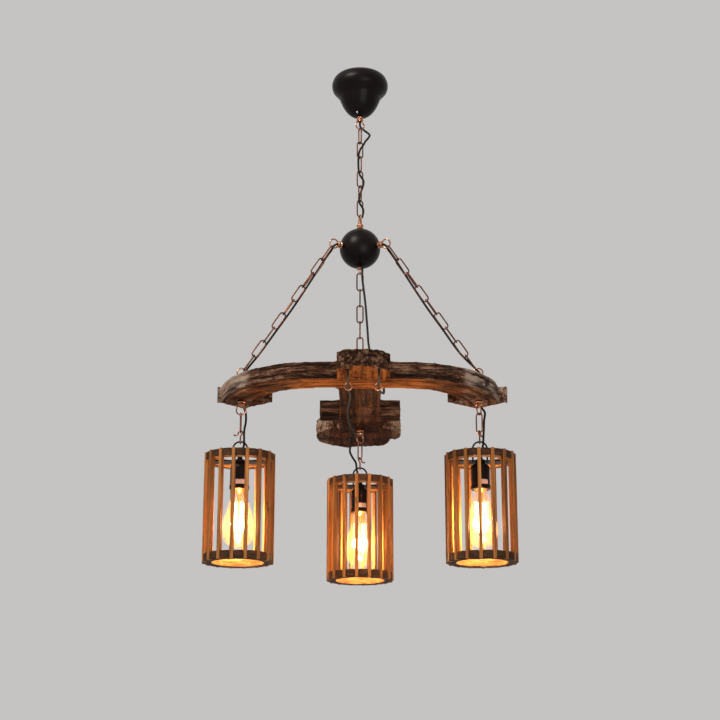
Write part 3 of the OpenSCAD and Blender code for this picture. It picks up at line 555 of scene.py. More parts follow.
# %% [markdown]
# The canopy is spun from one sheet of steel. Where its wide belly turns into the lower bell, the
# tool leaves a soft hollow and no line, so the bell is turned again here from a smooth outline
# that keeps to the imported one's rim, widest round and foot.

# %% Spun canopy
BELL_R, BELL_LOW = high("canopy").x / MM, low("canopy").z / MM
BELL_SHEET = 1.5
BELL_STEP = 2.5 * MM
BELL_TURNS = 96
BELL = [
    (BELL_R - 11.9, 0), (BELL_R - 6.2, -5), (BELL_R - 2.2, -12), (BELL_R, -22), (BELL_R - 2.4, -33),
    (BELL_R - 9.5, -42), (46.2, -49), (43.2, -56), (40, -64), (35.5, -73), (29.8, -81.5),
    (22.5, -89), (13, BELL_LOW + 0.3), (5.4, BELL_LOW),
]


def fit(name, mesh, body, cad_node=None, material=None):
    """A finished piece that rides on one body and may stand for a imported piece."""
    piece = add(name, mesh)
    if material:
        dress(piece, material)
    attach(piece, body)
    if cad_node:
        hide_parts(cad_node)
    return piece


def closed_mesh(name, vertices, faces):
    """A smooth-shaded mesh whose faces all look outwards."""
    mesh = plain_mesh(name, vertices, faces)
    bm = bmesh.new()
    bm.from_mesh(mesh)
    bmesh.ops.recalc_face_normals(bm, faces=bm.faces)
    bm.to_mesh(mesh)
    bm.free()
    mesh.polygons.foreach_set("use_smooth", [True] * len(mesh.polygons))
    return mesh


def spun_mesh(name, outline, sheet, turns):
    """A thin shell turned about the upright axis from the outline of its outer side."""
    outer = [Vector((p.x, p.z)) for p in smooth([(r * MM, 0, z * MM) for r, z in outline], BELL_STEP)]
    inner = [p + sheet * MM * Vector((way.y, -way.x)) for p, way in zip(outer, directions(outer))]
    inner[0].y, inner[-1].x = outer[0].y, outer[-1].x
    loop = outer + inner[::-1]
    angles = [2 * math.pi * k / turns for k in range(turns)]
    vertices = [(p.x * math.cos(a), p.x * math.sin(a), p.y) for a in angles for p in loop]
    return closed_mesh(name, vertices, skin(turns, len(loop), closed=True))


bell_mesh = spun_mesh("canopy_spun", BELL, BELL_SHEET, BELL_TURNS)
bell = fit("canopy_spun", bell_mesh, CANOPY, "canopy", black_paint)
print(bell.name, "faces", len(bell.data.polygons), "corner", shown(bell.bound_box[0]))

# %% [markdown]
# Chain links, slats and filament legs all repeat one shape. One small tree of Geometry Nodes
# handles the runs of links and another the rings of upright pieces. Each takes the single shape
# as its own mesh and copies it by count, spacing and turn, then ends in real geometry.

# %% Tree helpers
def new_tree(name, *sockets):
    """A node group with a geometry in and out, and named inputs with their defaults."""
    tree = bpy.data.node_groups.new(name, "GeometryNodeTree")
    tree.interface.new_socket("Geometry", in_out="OUTPUT", socket_type="NodeSocketGeometry")
    for label, kind, default in (("Geometry", "Geometry", None), *sockets, ("Material", "Material", None)):
        made = tree.interface.new_socket(label, in_out="INPUT", socket_type="NodeSocket" + kind)
        if default is not None:
            made.default_value = default
    return tree, tree.nodes.new("NodeGroupInput").outputs, tree.nodes.new("NodeGroupOutput").inputs


def upright(tree, value):
    return node(tree, "ShaderNodeCombineXYZ", Z=value).outputs[0]


def copies_on(tree, points, shape, angle):
    """Copies of a shape on points, each turned about the upright axis."""
    rotation = node(tree, "FunctionNodeEulerToRotation", Euler=upright(tree, angle)).outputs[0]
    copies = node(tree, "GeometryNodeInstanceOnPoints", Points=points, Instance=shape, Rotation=rotation)
    return copies.outputs[0]


def finish_tree(tree, instances, given, out, tone_seed):
    """Gives each copy its own tone, makes the copies real and sets their material."""
    random = node(tree, "FunctionNodeRandomValue", Seed=tone_seed)
    toned = node(tree, "GeometryNodeStoreNamedAttribute", data_type="FLOAT", domain="INSTANCE",
                 Geometry=instances, Name="tone", Value=random.outputs[1])
    real = node(tree, "GeometryNodeRealizeInstances", Geometry=toned.outputs[0])
    dressed = node(tree, "GeometryNodeSetMaterial", Geometry=real.outputs[0], Material=given["Material"])
    plug(tree, out["Geometry"], dressed.outputs[0])


def grow(name, seed_mesh, tree, material, **values):
    """Runs a tree on one shape and returns the plain mesh it makes."""
    piece = add(name, seed_mesh)
    modifier = piece.modifiers.new("tree", "NODES")
    modifier.node_group = tree
    names = {item.name: item.identifier for item in tree.interface.items_tree if item.in_out == "INPUT"}
    for label, value in {**values, "Material": material}.items():
        modifier[names[label.replace("_", " ")]] = value
    graph = bpy.context.evaluated_depsgraph_get()
    grown = piece.evaluated_get(graph)
    mesh = bpy.data.meshes.new_from_object(grown, preserve_all_data_layers=True, depsgraph=graph)
    bpy.data.objects.remove(piece)
    mesh.name = name
    return mesh


# %% Tree for a run of chain links
def make_chain_tree():
    tree, given, out = new_tree(
        "chain_run", ("Links", "Int", 9), ("Pitch", "Float", 0.037), ("Lift", "Float", 0.0033),
        ("First roll", "Float", 0.0), ("Last roll", "Float", 0.0))
    line = node(tree, "GeometryNodeMeshLine", mode="OFFSET", Count=given["Links"],
                Start_Location=upright(tree, given["Lift"]),
                Offset=upright(tree, times(tree, given["Pitch"], -1.0)))
    index = tree.nodes.new("GeometryNodeInputIndex").outputs[0]
    share = math_node(tree, "DIVIDE", plus(tree, index, 0.5), given["Links"])
    rise = math_node(tree, "SUBTRACT", given["Last roll"], given["First roll"])
    slow = plus(tree, given["First roll"], times(tree, share, rise))
    crossed = times(tree, math_node(tree, "MODULO", plus(tree, index, 1.0), 2.0), math.pi / 2)
    copies = copies_on(tree, line.outputs[0], given["Geometry"], plus(tree, slow, crossed))
    finish_tree(tree, copies, given, out, tone_seed=4)
    return tree


chain_tree = make_chain_tree()
print("tree", chain_tree.name, "with", len(chain_tree.nodes), "nodes")

# %% [markdown]
# A link is a bent and welded piece of wire. Its centreline is two half rounds joined by straight
# sides, and the weld is a faint swelling near the foot of one side.

# %% One link
WIRE_D = 3 * MM
WIRE_SIDES = 12
LINK_W = 16 * MM
SEAT = WIRE_D + 0.3 * MM
BEND_STEPS, SIDE_STEPS = 10, 6
WELD_AT, UNWELDED = 24, 0.995
CROSSWISE = Vector((0, 1, 0))


def link_mesh(pitch):
    bend = (LINK_W - WIRE_D) / 2
    straight = pitch + SEAT - 2 * bend
    points = []
    for k in range(BEND_STEPS + 1):
        a = math.pi * k / BEND_STEPS
        points.append(Vector((bend * math.cos(a), 0, -bend + bend * math.sin(a))))
    points += [Vector((-bend, 0, -bend - straight * k / SIDE_STEPS)) for k in range(1, SIDE_STEPS)]
    for k in range(BEND_STEPS + 1):
        a = math.pi + math.pi * k / BEND_STEPS
        points.append(Vector((bend * math.cos(a), 0, -bend - straight + bend * math.sin(a))))
    points += [Vector((bend, 0, -bend - straight * (1 - k / SIDE_STEPS))) for k in range(1, SIDE_STEPS)]
    vertices, count = [], len(points)
    for i, p in enumerate(points):
        side = (points[(i + 1) % count] - points[i - 1]).normalized().cross(CROSSWISE)
        thick = WIRE_D / 2 * (1 if abs(i - WELD_AT) <= 1 else UNWELDED)
        vertices += ring(p, thick, side, CROSSWISE, WIRE_SIDES)
    return closed_mesh("link", vertices, skin(count, WIRE_SIDES, closed=True))


def aimed(start, way):
    """Places a run made along -Z so that it starts at a point and runs along a direction."""
    return Matrix.Translation(start) @ turned_to(-way).to_4x4()


# %% Chains and lamp links
LEG_PITCH = 37 * MM
TOP_PITCH = 34 * MM
TOP_LINKS, REAR_LINKS = 6, 8
SMALL_EYE_R = 6.5 * MM
DOWN = Vector((0, 0, -1))
HOOK_TURN = {"left": 0.0, "right": math.radians(60), "rear": math.radians(40)}


def hang_chain(cad_node, body, material, links, pitch, start, way, first, last):
    mesh = grow(cad_node + "_run", link_mesh(pitch), chain_tree, material, Links=links, Pitch=pitch,
                Lift=SEAT, First_roll=first, Last_roll=last)
    mesh.transform(aimed(start, way))
    fit(cad_node + "_run", mesh, body, cad_node)
    print(cad_node, "links", links, "faces", len(mesh.polygons))


hang_chain("top_chain", CHAIN, bronze, TOP_LINKS, TOP_PITCH,
           Vector((0, 0, ring_z + WIRE_D / 2)), DOWN, CHAIN_TURN, CHAIN_TURN)
for side, name in ((-1, "left_chain"), (1, "right_chain")):
    out, start, way, roll, foot = leg(side)
    hang_chain(name, FRAME, bronze, LEG_LINKS, LEG_PITCH, start + EYE_R * way, way, -roll, 0.0)
rear_top = Vector((0, 0, low("hub_bottom_eye").z + WIRE_D / 2 + SMALL_EYE_R))
rear_foot = Vector((0, place["rear"].y, wood_top + COLLAR_H + 2 * EYE_R - EYE_SUNK))
rear_way = (rear_foot - rear_top).normalized()
hang_chain("rear_chain", FRAME, bronze, REAR_LINKS, LEG_PITCH,
           rear_top + SMALL_EYE_R * rear_way, rear_way, 0.0, 0.0)
for lamp in LAMPS:
    top = over(lamp, high(f"{lamp}_link").z - WIRE_D / 2 - SEAT)
    hang_chain(f"{lamp}_link", f"{lamp}_link_set", old_copper, 1, LEG_PITCH, top, DOWN,
               HOOK_TURN[lamp], HOOK_TURN[lamp])

# %% [markdown]
# The timber is old and hewn: adze scoops, raised fibres that follow the grain, drying cracks, and
# corners worn round and pale. A fine even mesh is laid over each packed board, then every point
# is pushed inwards by a relief made of smooth noise. The relief is worked out in the grain's own
# directions, so that on the curved arms the fibres follow the curve.

# %% Smooth noise
LATTICE_N = 32


def lattice(seed):
    """Smooth repeating noise between 0 and 1 on a lattice of fixed random numbers."""
    grid = np.random.default_rng(seed).random((LATTICE_N,) * 3)

    def value(p):
        cell = np.floor(p).astype(int)
        t = p - cell
        t = t * t * (3 - 2 * t)
        total = np.zeros(len(p))
        for corner in np.ndindex(2, 2, 2):
            weight = np.prod(np.where(corner, t, 1 - t), axis=1)
            i, j, k = ((cell + corner) % LATTICE_N).T
            total += weight * grid[i, j, k]
        return total
    return value


def step_up(x, a, b):
    t = np.clip((x - a) / (b - a), 0, 1)
    return t * t * (3 - 2 * t)


# %% [markdown]
# Eight kinds of marks make the relief. Each is a noise of its own, drawn out along the grain, and
# some are sharpened into ledges, grooves and thin cracks.

# %% Marks of the adze and of age
MARK_SIZE = {
    "scoop": (42, 15, 12), "fibre": (45, 4.2, 4.2), "thread": (18, 2.2, 2.2), "chip": (13, 9, 8),
    "crack": (170, 15, 19), "dry": (60, 30, 30), "ledge": (120, 8.5, 7.5), "groove": (75, 9, 8),
}
MARK_DEPTH = {"scoop": 1.2, "ledge": 1.1, "fibre": 0.9, "thread": 0.5, "groove": 0.9, "crack": 1.8}
FIRST_SEED = 11
noises = {mark: lattice(FIRST_SEED + i) for i, mark in enumerate(MARK_SIZE)}


def marks_on(g):
    """How strong each mark is at places counted along the grain, across it and up, in mm."""
    marks = {mark: noises[mark](g / size) for mark, size in MARK_SIZE.items()}
    marks["ledge"] = step_up(marks["ledge"], 0.3, 0.7)
    marks["crack"] = 1 - step_up(np.abs(marks["crack"] - 0.5), 0.004, 0.022)
    marks["crack"] *= step_up(marks["dry"], 0.42, 0.55)
    marks["groove"] = 1 - step_up(np.abs(marks["groove"] - 0.5), 0.01, 0.07)
    return marks


print("marks", *MARK_SIZE)


# %% Even mesh over a packed board
def even_mesh(cad_name, voxel):
    """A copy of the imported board, merged and covered again with small even faces."""
    mesh = nodes[cad_name].data.copy()
    bm = bmesh.new()
    bm.from_mesh(mesh)
    bmesh.ops.remove_doubles(bm, verts=bm.verts, dist=1e-6)
    bm.to_mesh(mesh)
    bm.free()
    piece = add(cad_name + "_even", mesh)
    remesh = piece.modifiers.new("even", "REMESH")
    remesh.mode, remesh.voxel_size = "VOXEL", voxel
    graph = bpy.context.evaluated_depsgraph_get()
    even = bpy.data.meshes.new_from_object(piece.evaluated_get(graph), depsgraph=graph)
    bpy.data.objects.remove(piece)
    return even


def read_off(items, key, width, kind=float):
    """A row of numbers for each point or edge of a mesh."""
    flat = np.empty(len(items) * width, dtype=kind)
    items.foreach_get(key, flat)
    return flat.reshape(-1, width)


def dot(a, b):
    return np.einsum("ij,ij->i", a, b)


def relaxed(values, pairs, rounds):
    """Averages each point's place with its neighbours' places."""
    count = np.zeros(len(values))
    np.add.at(count, pairs.ravel(), 1)
    count = np.maximum(count, 1).reshape(-1, 1)
    for _ in range(rounds):
        total = np.zeros_like(values)
        np.add.at(total, pairs[:, 0], values[pairs[:, 1]])
        np.add.at(total, pairs[:, 1], values[pairs[:, 0]])
        values = 0.5 * values + 0.5 * total / count
    return values


# %% [markdown]
# On the straight boards the grain runs lengthwise, and on the arms it follows the curve. Near the
# copper eyes, the cord holes and the small rings the relief fades out, so that collars sit flat on
# the wood. Where two boards meet it fades as well, and no point is pushed across the joint.

# %% Grain and neighbours
ARM_MID, ARM_REACH, ARM_DEPTH = 90, 200, 235
QUIET = [(place[lamp].x, place[lamp].y) for lamp in LAMPS]
QUIET += [(x * MM, front_y + y * MM) for x in (-23, 36) for y in (-70, 15)]
QUIET_R = (9, 17)
NEAR = 9 * MM


def marked_out(p):
    """Places in mm: to the right, rearwards from the arms' front edge, and up."""
    return p[:, 0] / MM, (p[:, 1] - front_y) / MM, (p[:, 2] - wood_bottom) / MM


def straight_grain(p, lengthwise):
    x, y, z = marked_out(p)
    return np.stack((x, y, z) if lengthwise == "x" else (y, x, z), axis=1)


def curved_grain(p, _):
    """Along the arms, across them and up: past the straight middle the grain follows the curve."""
    x, y, z = marked_out(p)
    out = np.maximum(np.abs(x) - ARM_MID, 0)
    aside, ahead = out / ARM_REACH, (ARM_DEPTH - y) / ARM_DEPTH
    half = (ARM_REACH + ARM_DEPTH) / 2
    along = np.where(out > 0, ARM_MID + np.arctan2(aside, ahead) * half, np.abs(x)) * np.sign(x)
    across = np.where(out > 0, (1 - np.hypot(aside, ahead)) * half, y)
    return np.stack((along, across, z), axis=1)


def facing_the_bulb(p, normals):
    """Painted bulb light: one where a ring's surface looks in at its own middle and the bulb, nought on the
    outside.
    """
    out = p[:, :2] - (p[:, :2].min(axis=0) + p[:, :2].max(axis=0)) / 2
    out /= np.linalg.norm(out, axis=1).reshape(-1, 1)
    return step_up(-dot(out, normals[:, :2]), 0.3, 0.7)


def tree_of(*cad_names):
    """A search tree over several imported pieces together."""
    bm = bmesh.new()
    for cad_name in cad_names:
        bm.from_mesh(nodes[cad_name].data)
    tree = BVHTree.FromBMesh(bm)
    bm.free()
    return tree


def reach_to(cad_names, p):
    """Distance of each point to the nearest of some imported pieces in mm, and how that one faces."""
    tree = tree_of(*cad_names)
    found = [tree.find_nearest(Vector(q), NEAR) for q in p]
    gap = np.array([NEAR if hit[3] is None else hit[3] for hit in found]) / MM
    facing = np.array([(0, 0, 0) if hit[1] is None else tuple(hit[1]) for hit in found])
    return gap, facing


# %% Hewing
DISC_HEART = (86 * MM, (high("end_disc").y - front_y) - 62 * MM)
YEAR_RING = 4.5
SEED_SHIFT = np.array([37.0, 11.0, 0])


def hew(cad_name, grain=straight_grain, lengthwise="x", voxel=1.7, depth=1.0, wear=1.0, planed_lamplit=0.0,
        fine=1.0, shade_all_over=0.0, grey=None, lamplit_ends=None, seed=0, others=(), strangers=()):
    """A worn copy of a packed board. Grey says where its weathering starts and is full, and the last pair
    where its planed underside, with the bulbs' glow painted on it, fades, in mm out from the middle.
    A board that lies in shade can have painted shade on all its faces."""
    mesh = even_mesh(cad_name, voxel * MM)
    pairs = read_off(mesh.edges, "vertices", 2, int)
    raw = read_off(mesh.vertices, "co", 3)
    normals = read_off(mesh.vertices, "normal", 3)
    p = relaxed(raw, pairs, 1)
    edge = step_up(-dot(relaxed(p, pairs, 10) - p, normals) / MM, 0.12, 1.1)
    g = fine * grain(p, lengthwise) + seed * SEED_SHIFT
    marks = marks_on(g)
    near = np.min([np.hypot(p[:, 0] - x, p[:, 1] - y) for x, y in QUIET], axis=0)
    loud = step_up(near / MM, *QUIET_R)
    if others:
        gap, facing = reach_to(others, p)
        joined = step_up(gap, 1, 8)
        edge = edge * joined
        loud = loud * (0.2 + 0.8 * step_up(reach_to(strangers, p)[0], 1, 8))
        towards = dot(normals, facing) * (1 - step_up(gap, 0.8, 2.2))
        normals = normals - towards.reshape(-1, 1) * facing
    cut = sum(deep * marks[mark] for mark, deep in MARK_DEPTH.items())
    rounded = 0.5 + 3.6 * step_up(marks["chip"], 0.42, 0.75) + 0.9 * marks["fibre"]
    push = depth * loud * cut + wear * edge * rounded * (0.35 + 0.65 * loud)
    push = normals * push.reshape(-1, 1) * MM
    p = relaxed(p - push, pairs, 1)
    if others:
        p = p + (raw - push - p) * (1 - step_up(joined, 0.0, 0.3)).reshape(-1, 1)
    mesh.vertices.foreach_set("co", p.ravel())

    under = step_up(-read_off(mesh.vertices, "normal", 3)[:, 2], 0.5, 0.85)
    out = np.abs(p[:, 0]) / MM
    # The warm underside is partly the planed wood and partly painted glow of the bulbs below, which fades out
    # towards the ends.
    if lamplit_ends:
        planed_lamplit = planed_lamplit * (1 - 0.75 * step_up(out, *lamplit_ends))
    weather = step_up(out, *grey) * (1 - 0.75 * under) if grey else np.zeros(len(p))
    relief = 0.6 * marks["scoop"] + 0.9 * marks["ledge"] + 0.8 * marks["fibre"] + 0.7 * marks["thread"]
    relief = relief / 3.0
    if lengthwise == "disc":
        reach = np.hypot(np.abs(p[:, 0]) - DISC_HEART[0], p[:, 1] - front_y - DISC_HEART[1]) / MM
        years = 0.5 - 0.5 * np.cos(2 * math.pi * (reach + 4 * marks["scoop"]) / YEAR_RING)
        relief = relief * (1 - 0.7 * weather) + 0.7 * weather * years
    values = {
        "edge": edge * (0.35 + 0.65 * marks["chip"]), "relief": relief, "planed_lamplit": under * planed_lamplit,
        "crack": np.maximum(marks["crack"], 0.75 * marks["groove"]) * loud,
        # Painted shade: downward faces that are not planed, and whole boards that lie in shade, go darker.
        "painted_shade": np.maximum(under * (1 - planed_lamplit), shade_all_over), "weather": weather,
    }
    # The inner faces of a shade's rings get painted light from the bulb.
    if lengthwise == "ring":
        values["bulb_lit_inside"] = facing_the_bulb(p, normals)
    for label, value in values.items():
        mesh.attributes.new(label, "FLOAT", "POINT").data.foreach_set("value", value)
    mesh.attributes.new("grain", "FLOAT_VECTOR", "POINT").data.foreach_set("vector", (g * MM).ravel())
    mesh.polygons.foreach_set("use_smooth", [True] * len(mesh.polygons))
    mesh.update()
    return mesh


# %% [markdown]
# Stained timber is darkest in its hollows, paler on raised fibres, and nearly unstained along worn
# corners. The undersides of arms and crown were planed and oiled to a warm orange brown, and the
# glow of the bulbs below is painted on them too, fading towards the ends of the arms. The other
# undersides, the shank and the stock get painted shade.

# %% Hewn timber
def make_timber(name, dark, mid, light, pale, silver, warm_dark, warm_light, shade_colour):
    material, tree, shader = new_material(name)
    run = node(tree, "ShaderNodeAttribute", attribute_name="grain").outputs["Vector"]
    drawn_out = node(tree, "ShaderNodeMapping", Vector=run, Scale=(42, 470, 470)).outputs["Vector"]
    fibres = noise_of(tree, drawn_out, 1.0, 7.0, 0.78, 0.8)
    blotches = noise_of(tree, stretched(tree), 26, 5.0, 0.6)
    raised = math_node(tree, "SUBTRACT", 1.0, attribute(tree, "relief"))
    both = plus(tree, plus(tree, fibres, -0.16), times(tree, raised, 0.4))
    stain = ramp(tree, both, (0.43, dark), (0.50, mid), (0.58, light), (0.67, pale))
    stain = mixed(tree, times(tree, blotches, 0.5), stain, dark)
    # Painted shade, mixed in as a near-black brown.
    stain = mixed(tree, times(tree, attribute(tree, "painted_shade"), 0.85), stain, shade_colour)
    warm = ramp(tree, both, (0.42, warm_dark), (0.62, warm_light))
    # Planed undersides with the painted glow of the bulbs.
    body = mixed(tree, attribute(tree, "planed_lamplit"), stain, warm)
    grey = ramp(tree, both, (0.46, light), (0.60, silver))
    body = mixed(tree, times(tree, attribute(tree, "weather"), 0.75), body, grey)
    worn = mask(tree, times(tree, attribute(tree, "edge"), plus(tree, fibres, 0.35)), 0.18, 0.5)
    body = mixed(tree, times(tree, worn, 0.7), body, pale)
    body = mixed(tree, times(tree, attribute(tree, "crack"), 0.9), body, (0.006, 0.004, 0.003))
    feed(tree, shader, Base_Color=body, Roughness=0.85, Specular_IOR_Level=0.06)
    bump(tree, shader, fibres, 0.9, 0.0018)
    return material


# Its last colour is the painted shade on undersides, shank and stock.
timber = make_timber(
    "hewn_timber", dark=(0.007, 0.0032, 0.0018), mid=(0.038, 0.0132, 0.0060), light=(0.112, 0.043, 0.019),
    pale=(0.34, 0.195, 0.12), silver=(0.44, 0.32, 0.24), warm_dark=(0.036, 0.008, 0.003),
    warm_light=(0.36, 0.108, 0.019), shade_colour=(0.014, 0.0045, 0.0022),
)

# %% Boards of the anchor
# On arms and flukes the painted glow of the bulbs fades between 70 and 190 mm out from the middle.
BENT = dict(grain=curved_grain, planed_lamplit=0.85, lamplit_ends=(70, 190), seed=2)
BOARDS = {
    "crown_block": dict(lengthwise="y", planed_lamplit=1.0, wear=1.25, fine=1.6, seed=1),
    "arms": BENT,
    "left_fluke": dict(BENT, wear=1.2, grey=(214, 234)),
    "right_fluke": dict(BENT, wear=1.2, grey=(202, 212)),
    # Shank and stock lie in shade, which is painted on all their faces.
    "shank": dict(lengthwise="y", planed_lamplit=0.05, shade_all_over=0.25, seed=5),
    "stock": dict(wear=1.1, fine=1.3, shade_all_over=0.5, seed=6),
    "end_disc": dict(lengthwise="disc", planed_lamplit=0.05, wear=1.5, depth=1.15, fine=1.2, grey=(58, 80), seed=7),
}
for cad_name, choice in BOARDS.items():
    others = [name for name in BOARDS if name != cad_name]
    strangers = [name for name in others if BOARDS[name]["seed"] != choice["seed"]]
    mesh = hew(cad_name, others=others, strangers=strangers, **choice)
    fit(cad_name + "_hewn", mesh, FRAME, cad_name, timber)
    print(cad_name, "faces", len(mesh.polygons))

# %% [markdown]
# Each shade is a ring of sixteen slats let into two rings. The slats are one rough-sawn
# stick repeated by Geometry Nodes, with a tone of its own for every copy. The rings are covered
# with the same even mesh as the boards, only with hardly any relief, and the faces that look in
# at the bulb are painted a paler orange as the bulb's light.

# %% Tree for a ring of upright pieces
def make_ring_tree():
    tree, given, out = new_tree(
        "upright_ring", ("Count", "Int", 16), ("Radius", "Float", 0.067), ("First angle", "Float", 0.0))
    circle = node(tree, "GeometryNodeMeshCircle", Vertices=given["Count"], Radius=given["Radius"])
    index = tree.nodes.new("GeometryNodeInputIndex").outputs[0]
    angle = math_node(tree, "DIVIDE", times(tree, index, 2 * math.pi), given["Count"])
    copies = copies_on(tree, circle.outputs[0], given["Geometry"], angle)
    whole = node(tree, "GeometryNodeTransform", Geometry=copies, Rotation=upright(tree, given["First angle"]))
    finish_tree(tree, whole.outputs[0], given, out, tone_seed=21)
    return tree


ring_tree = make_ring_tree()
print("tree", ring_tree.name, "with", len(ring_tree.nodes), "nodes")

# %% One slat
SLAT_DEPTH, SLAT_W, SLAT_N = 10 * MM, 7 * MM, 16
SLAT_TURN = math.radians(-6 - 90)
SLAT_R = (high("left_slats").x - low("left_slats").x) / 2


def mesh_from(name, bm):
    """Turns finished mesh data that was being edited into a mesh, and lets it go."""
    mesh = bpy.data.meshes.new(name)
    bm.to_mesh(mesh)
    bm.free()
    return mesh


def slat_mesh(height):
    """A flat stick with eased corners and slightly uneven faces, its foot at the origin."""
    bm = bmesh.new()
    bmesh.ops.create_cube(bm, size=1)
    bmesh.ops.scale(bm, verts=bm.verts, vec=(SLAT_DEPTH, SLAT_W, height))
    bmesh.ops.translate(bm, verts=bm.verts, vec=(0, 0, height / 2))
    bmesh.ops.bevel(bm, geom=bm.edges[:], offset=0.7 * MM, segments=2, profile=0.6, affect="EDGES")
    uprights = [e for e in bm.edges if e.calc_length() > height / 2]
    bmesh.ops.subdivide_edges(bm, edges=uprights, cuts=24)
    for vertex in bm.verts:
        spot = noise.noise(Vector((vertex.co.x * 90, vertex.co.y * 90, vertex.co.z * 45)))
        vertex.co.x *= 1 - 0.035 * (spot + 1)
        vertex.co.y *= 1 - 0.05 * (spot + 1)
    return mesh_from("slat", bm)


# %% Sawn wood
def make_sawn_wood(name, rough, dark, mid, light, grain_scale=(260, 260, 9), toned=True, bulb_lit_inside=None):
    material, tree, shader = new_material(name)
    fibres = noise_of(tree, stretched(tree, grain_scale), 1.0, 6.0, 0.62, 0.5)
    streaks = noise_of(tree, stretched(tree, (60, 60, 4)), 1.0, 3.0)
    knots = noise_of(tree, stretched(tree, (70, 70, 26)), 1.0, 2.0)
    body = ramp(tree, fibres, (0.30, dark), (0.52, mid), (0.74, light))
    body = mixed(tree, times(tree, mask(tree, streaks, 0.4, 0.7), 0.55), body, dark)
    body = mixed(tree, mask(tree, knots, 0.70, 0.78), body, (0.03, 0.016, 0.009))
    # Painted bulb light on the inner faces, a paler orange.
    if bulb_lit_inside:
        body = mixed(tree, attribute(tree, "bulb_lit_inside"), body, ramp(tree, fibres, (0.3, mid), (0.7, bulb_lit_inside)))
    if toned:
        value = plus(tree, times(tree, attribute(tree, "tone"), 0.5), 0.72)
        body = node(tree, "ShaderNodeHueSaturation", Color=body, Value=value).outputs["Color"]
    feed(tree, shader, Base_Color=body, Roughness=rough, Specular_IOR_Level=0.15)
    bump(tree, shader, fibres, 0.5, 0.0006)
    return material


slat_wood = make_sawn_wood(
    "slat_wood", 0.62, (0.11, 0.036, 0.009), (0.34, 0.125, 0.030), (0.52, 0.225, 0.065))
# The rings' last colour is the painted bulb light on their inner faces.
ring_wood = make_sawn_wood(
    "ring_wood", 0.68, (0.020, 0.008, 0.004), (0.055, 0.021, 0.008), (0.13, 0.052, 0.019),
    grain_scale=(42, 42, 240), toned=False, bulb_lit_inside=(0.44, 0.20, 0.07))
dowel_wood = make_sawn_wood(
    "dowel_wood", 0.6, (0.34, 0.22, 0.12), (0.46, 0.32, 0.18), (0.56, 0.42, 0.26), toned=False)
paint("dowels", dowel_wood)

# %% Shades
for lamp in LAMPS:
    cad_name = f"{lamp}_slats"
    foot = over(lamp, low(cad_name).z)
    slats = grow(cad_name + "_sawn", slat_mesh(high(cad_name).z - foot.z), ring_tree, slat_wood,
                 Count=SLAT_N, Radius=SLAT_R - SLAT_DEPTH / 2, First_angle=SLAT_TURN)
    slats.transform(Matrix.Translation(foot))
    fit(cad_name + "_sawn", slats, f"{lamp}_lamp", cad_name)
    for cad_name in (f"{lamp}_top_ring", f"{lamp}_bottom_ring"):
        turned = hew(cad_name, lengthwise="ring", voxel=1.5, depth=0.12, wear=0.2, seed=8)
        fit(cad_name + "_turned", turned, f"{lamp}_lamp", cad_name, ring_wood)
    print(lamp, "shade", len(slats.polygons), "slat faces", len(turned.polygons), "ring faces")

# %% [markdown]
# The bulbs are amber glass with six long filament legs, and they are lit. A pane of glass this
# thin hardly bends light, so it is made see-through and tinted, which also lets the filament's
# light out. A small warm lamp in each bulb lights the inside of its cage.

# %% Glass and filament
def make_glass():
    material, tree, shader = new_material("amber_glass")
    smoke = noise_of(tree, stretched(tree, (1, 1, 0.45)), 85, 4.0, 0.6, 0.8)
    amber = ramp(tree, smoke, (0.35, (0.72, 0.27, 0.06)), (0.7, (0.95, 0.52, 0.22)))
    feed(tree, shader, Base_Color=amber, Alpha=spread(tree, smoke, 0.12, 0.34), Roughness=0.05,
         Transmission_Weight=0.85)
    return material


def make_glow():
    material, tree, shader = new_material("glowing_filament")
    along = noise_of(tree, stretched(tree), 180)
    warm = ramp(tree, along, (0.2, (1.0, 0.62, 0.26)), (0.8, (1.0, 0.80, 0.48)))
    feed(tree, shader, Emission_Color=warm, Emission_Strength=40, Base_Color=(0.9, 0.5, 0.2))
    return material


glass = make_glass()
glow = make_glow()
FILAMENT_N, CAGE_R = 6, 9 * MM
ROD_L, LEG_L, LEG_UP = 86 * MM, 58 * MM, 1 * MM
COIL_R, COIL_TURN, COIL_STEPS, FILAMENT_R = 0.4 * MM, 2.1, 60, 0.7 * MM
LAMP_UP, LAMP_POWER, LAMP_SIZE, LAMP_COLOUR = 16 * MM, 7.0, 0.012, (1.0, 0.62, 0.27)


def filament_leg(length):
    """One leg of fine coiled wire, with its foot at the origin."""
    path = []
    for k in range(COIL_STEPS + 1):
        a = COIL_TURN * k
        path.append(Vector((COIL_R * math.sin(a), COIL_R * math.cos(a), length * k / COIL_STEPS)))
    return tube_mesh("leg", path, FILAMENT_R, sides=6)


def add_light(name, kind, at, power, colour, size, aim=None):
    """A soft light that shines all round, or a panel that is aimed at a point."""
    data = bpy.data.lights.new(name, kind)
    data.energy, data.color = power, colour
    setattr(data, "size" if kind == "AREA" else "shadow_soft_size", size)
    light = add(name, data)
    light.location = at
    if aim:
        light.rotation_euler = (Vector(aim) - Vector(at)).to_track_quat("-Z", "Y").to_euler()


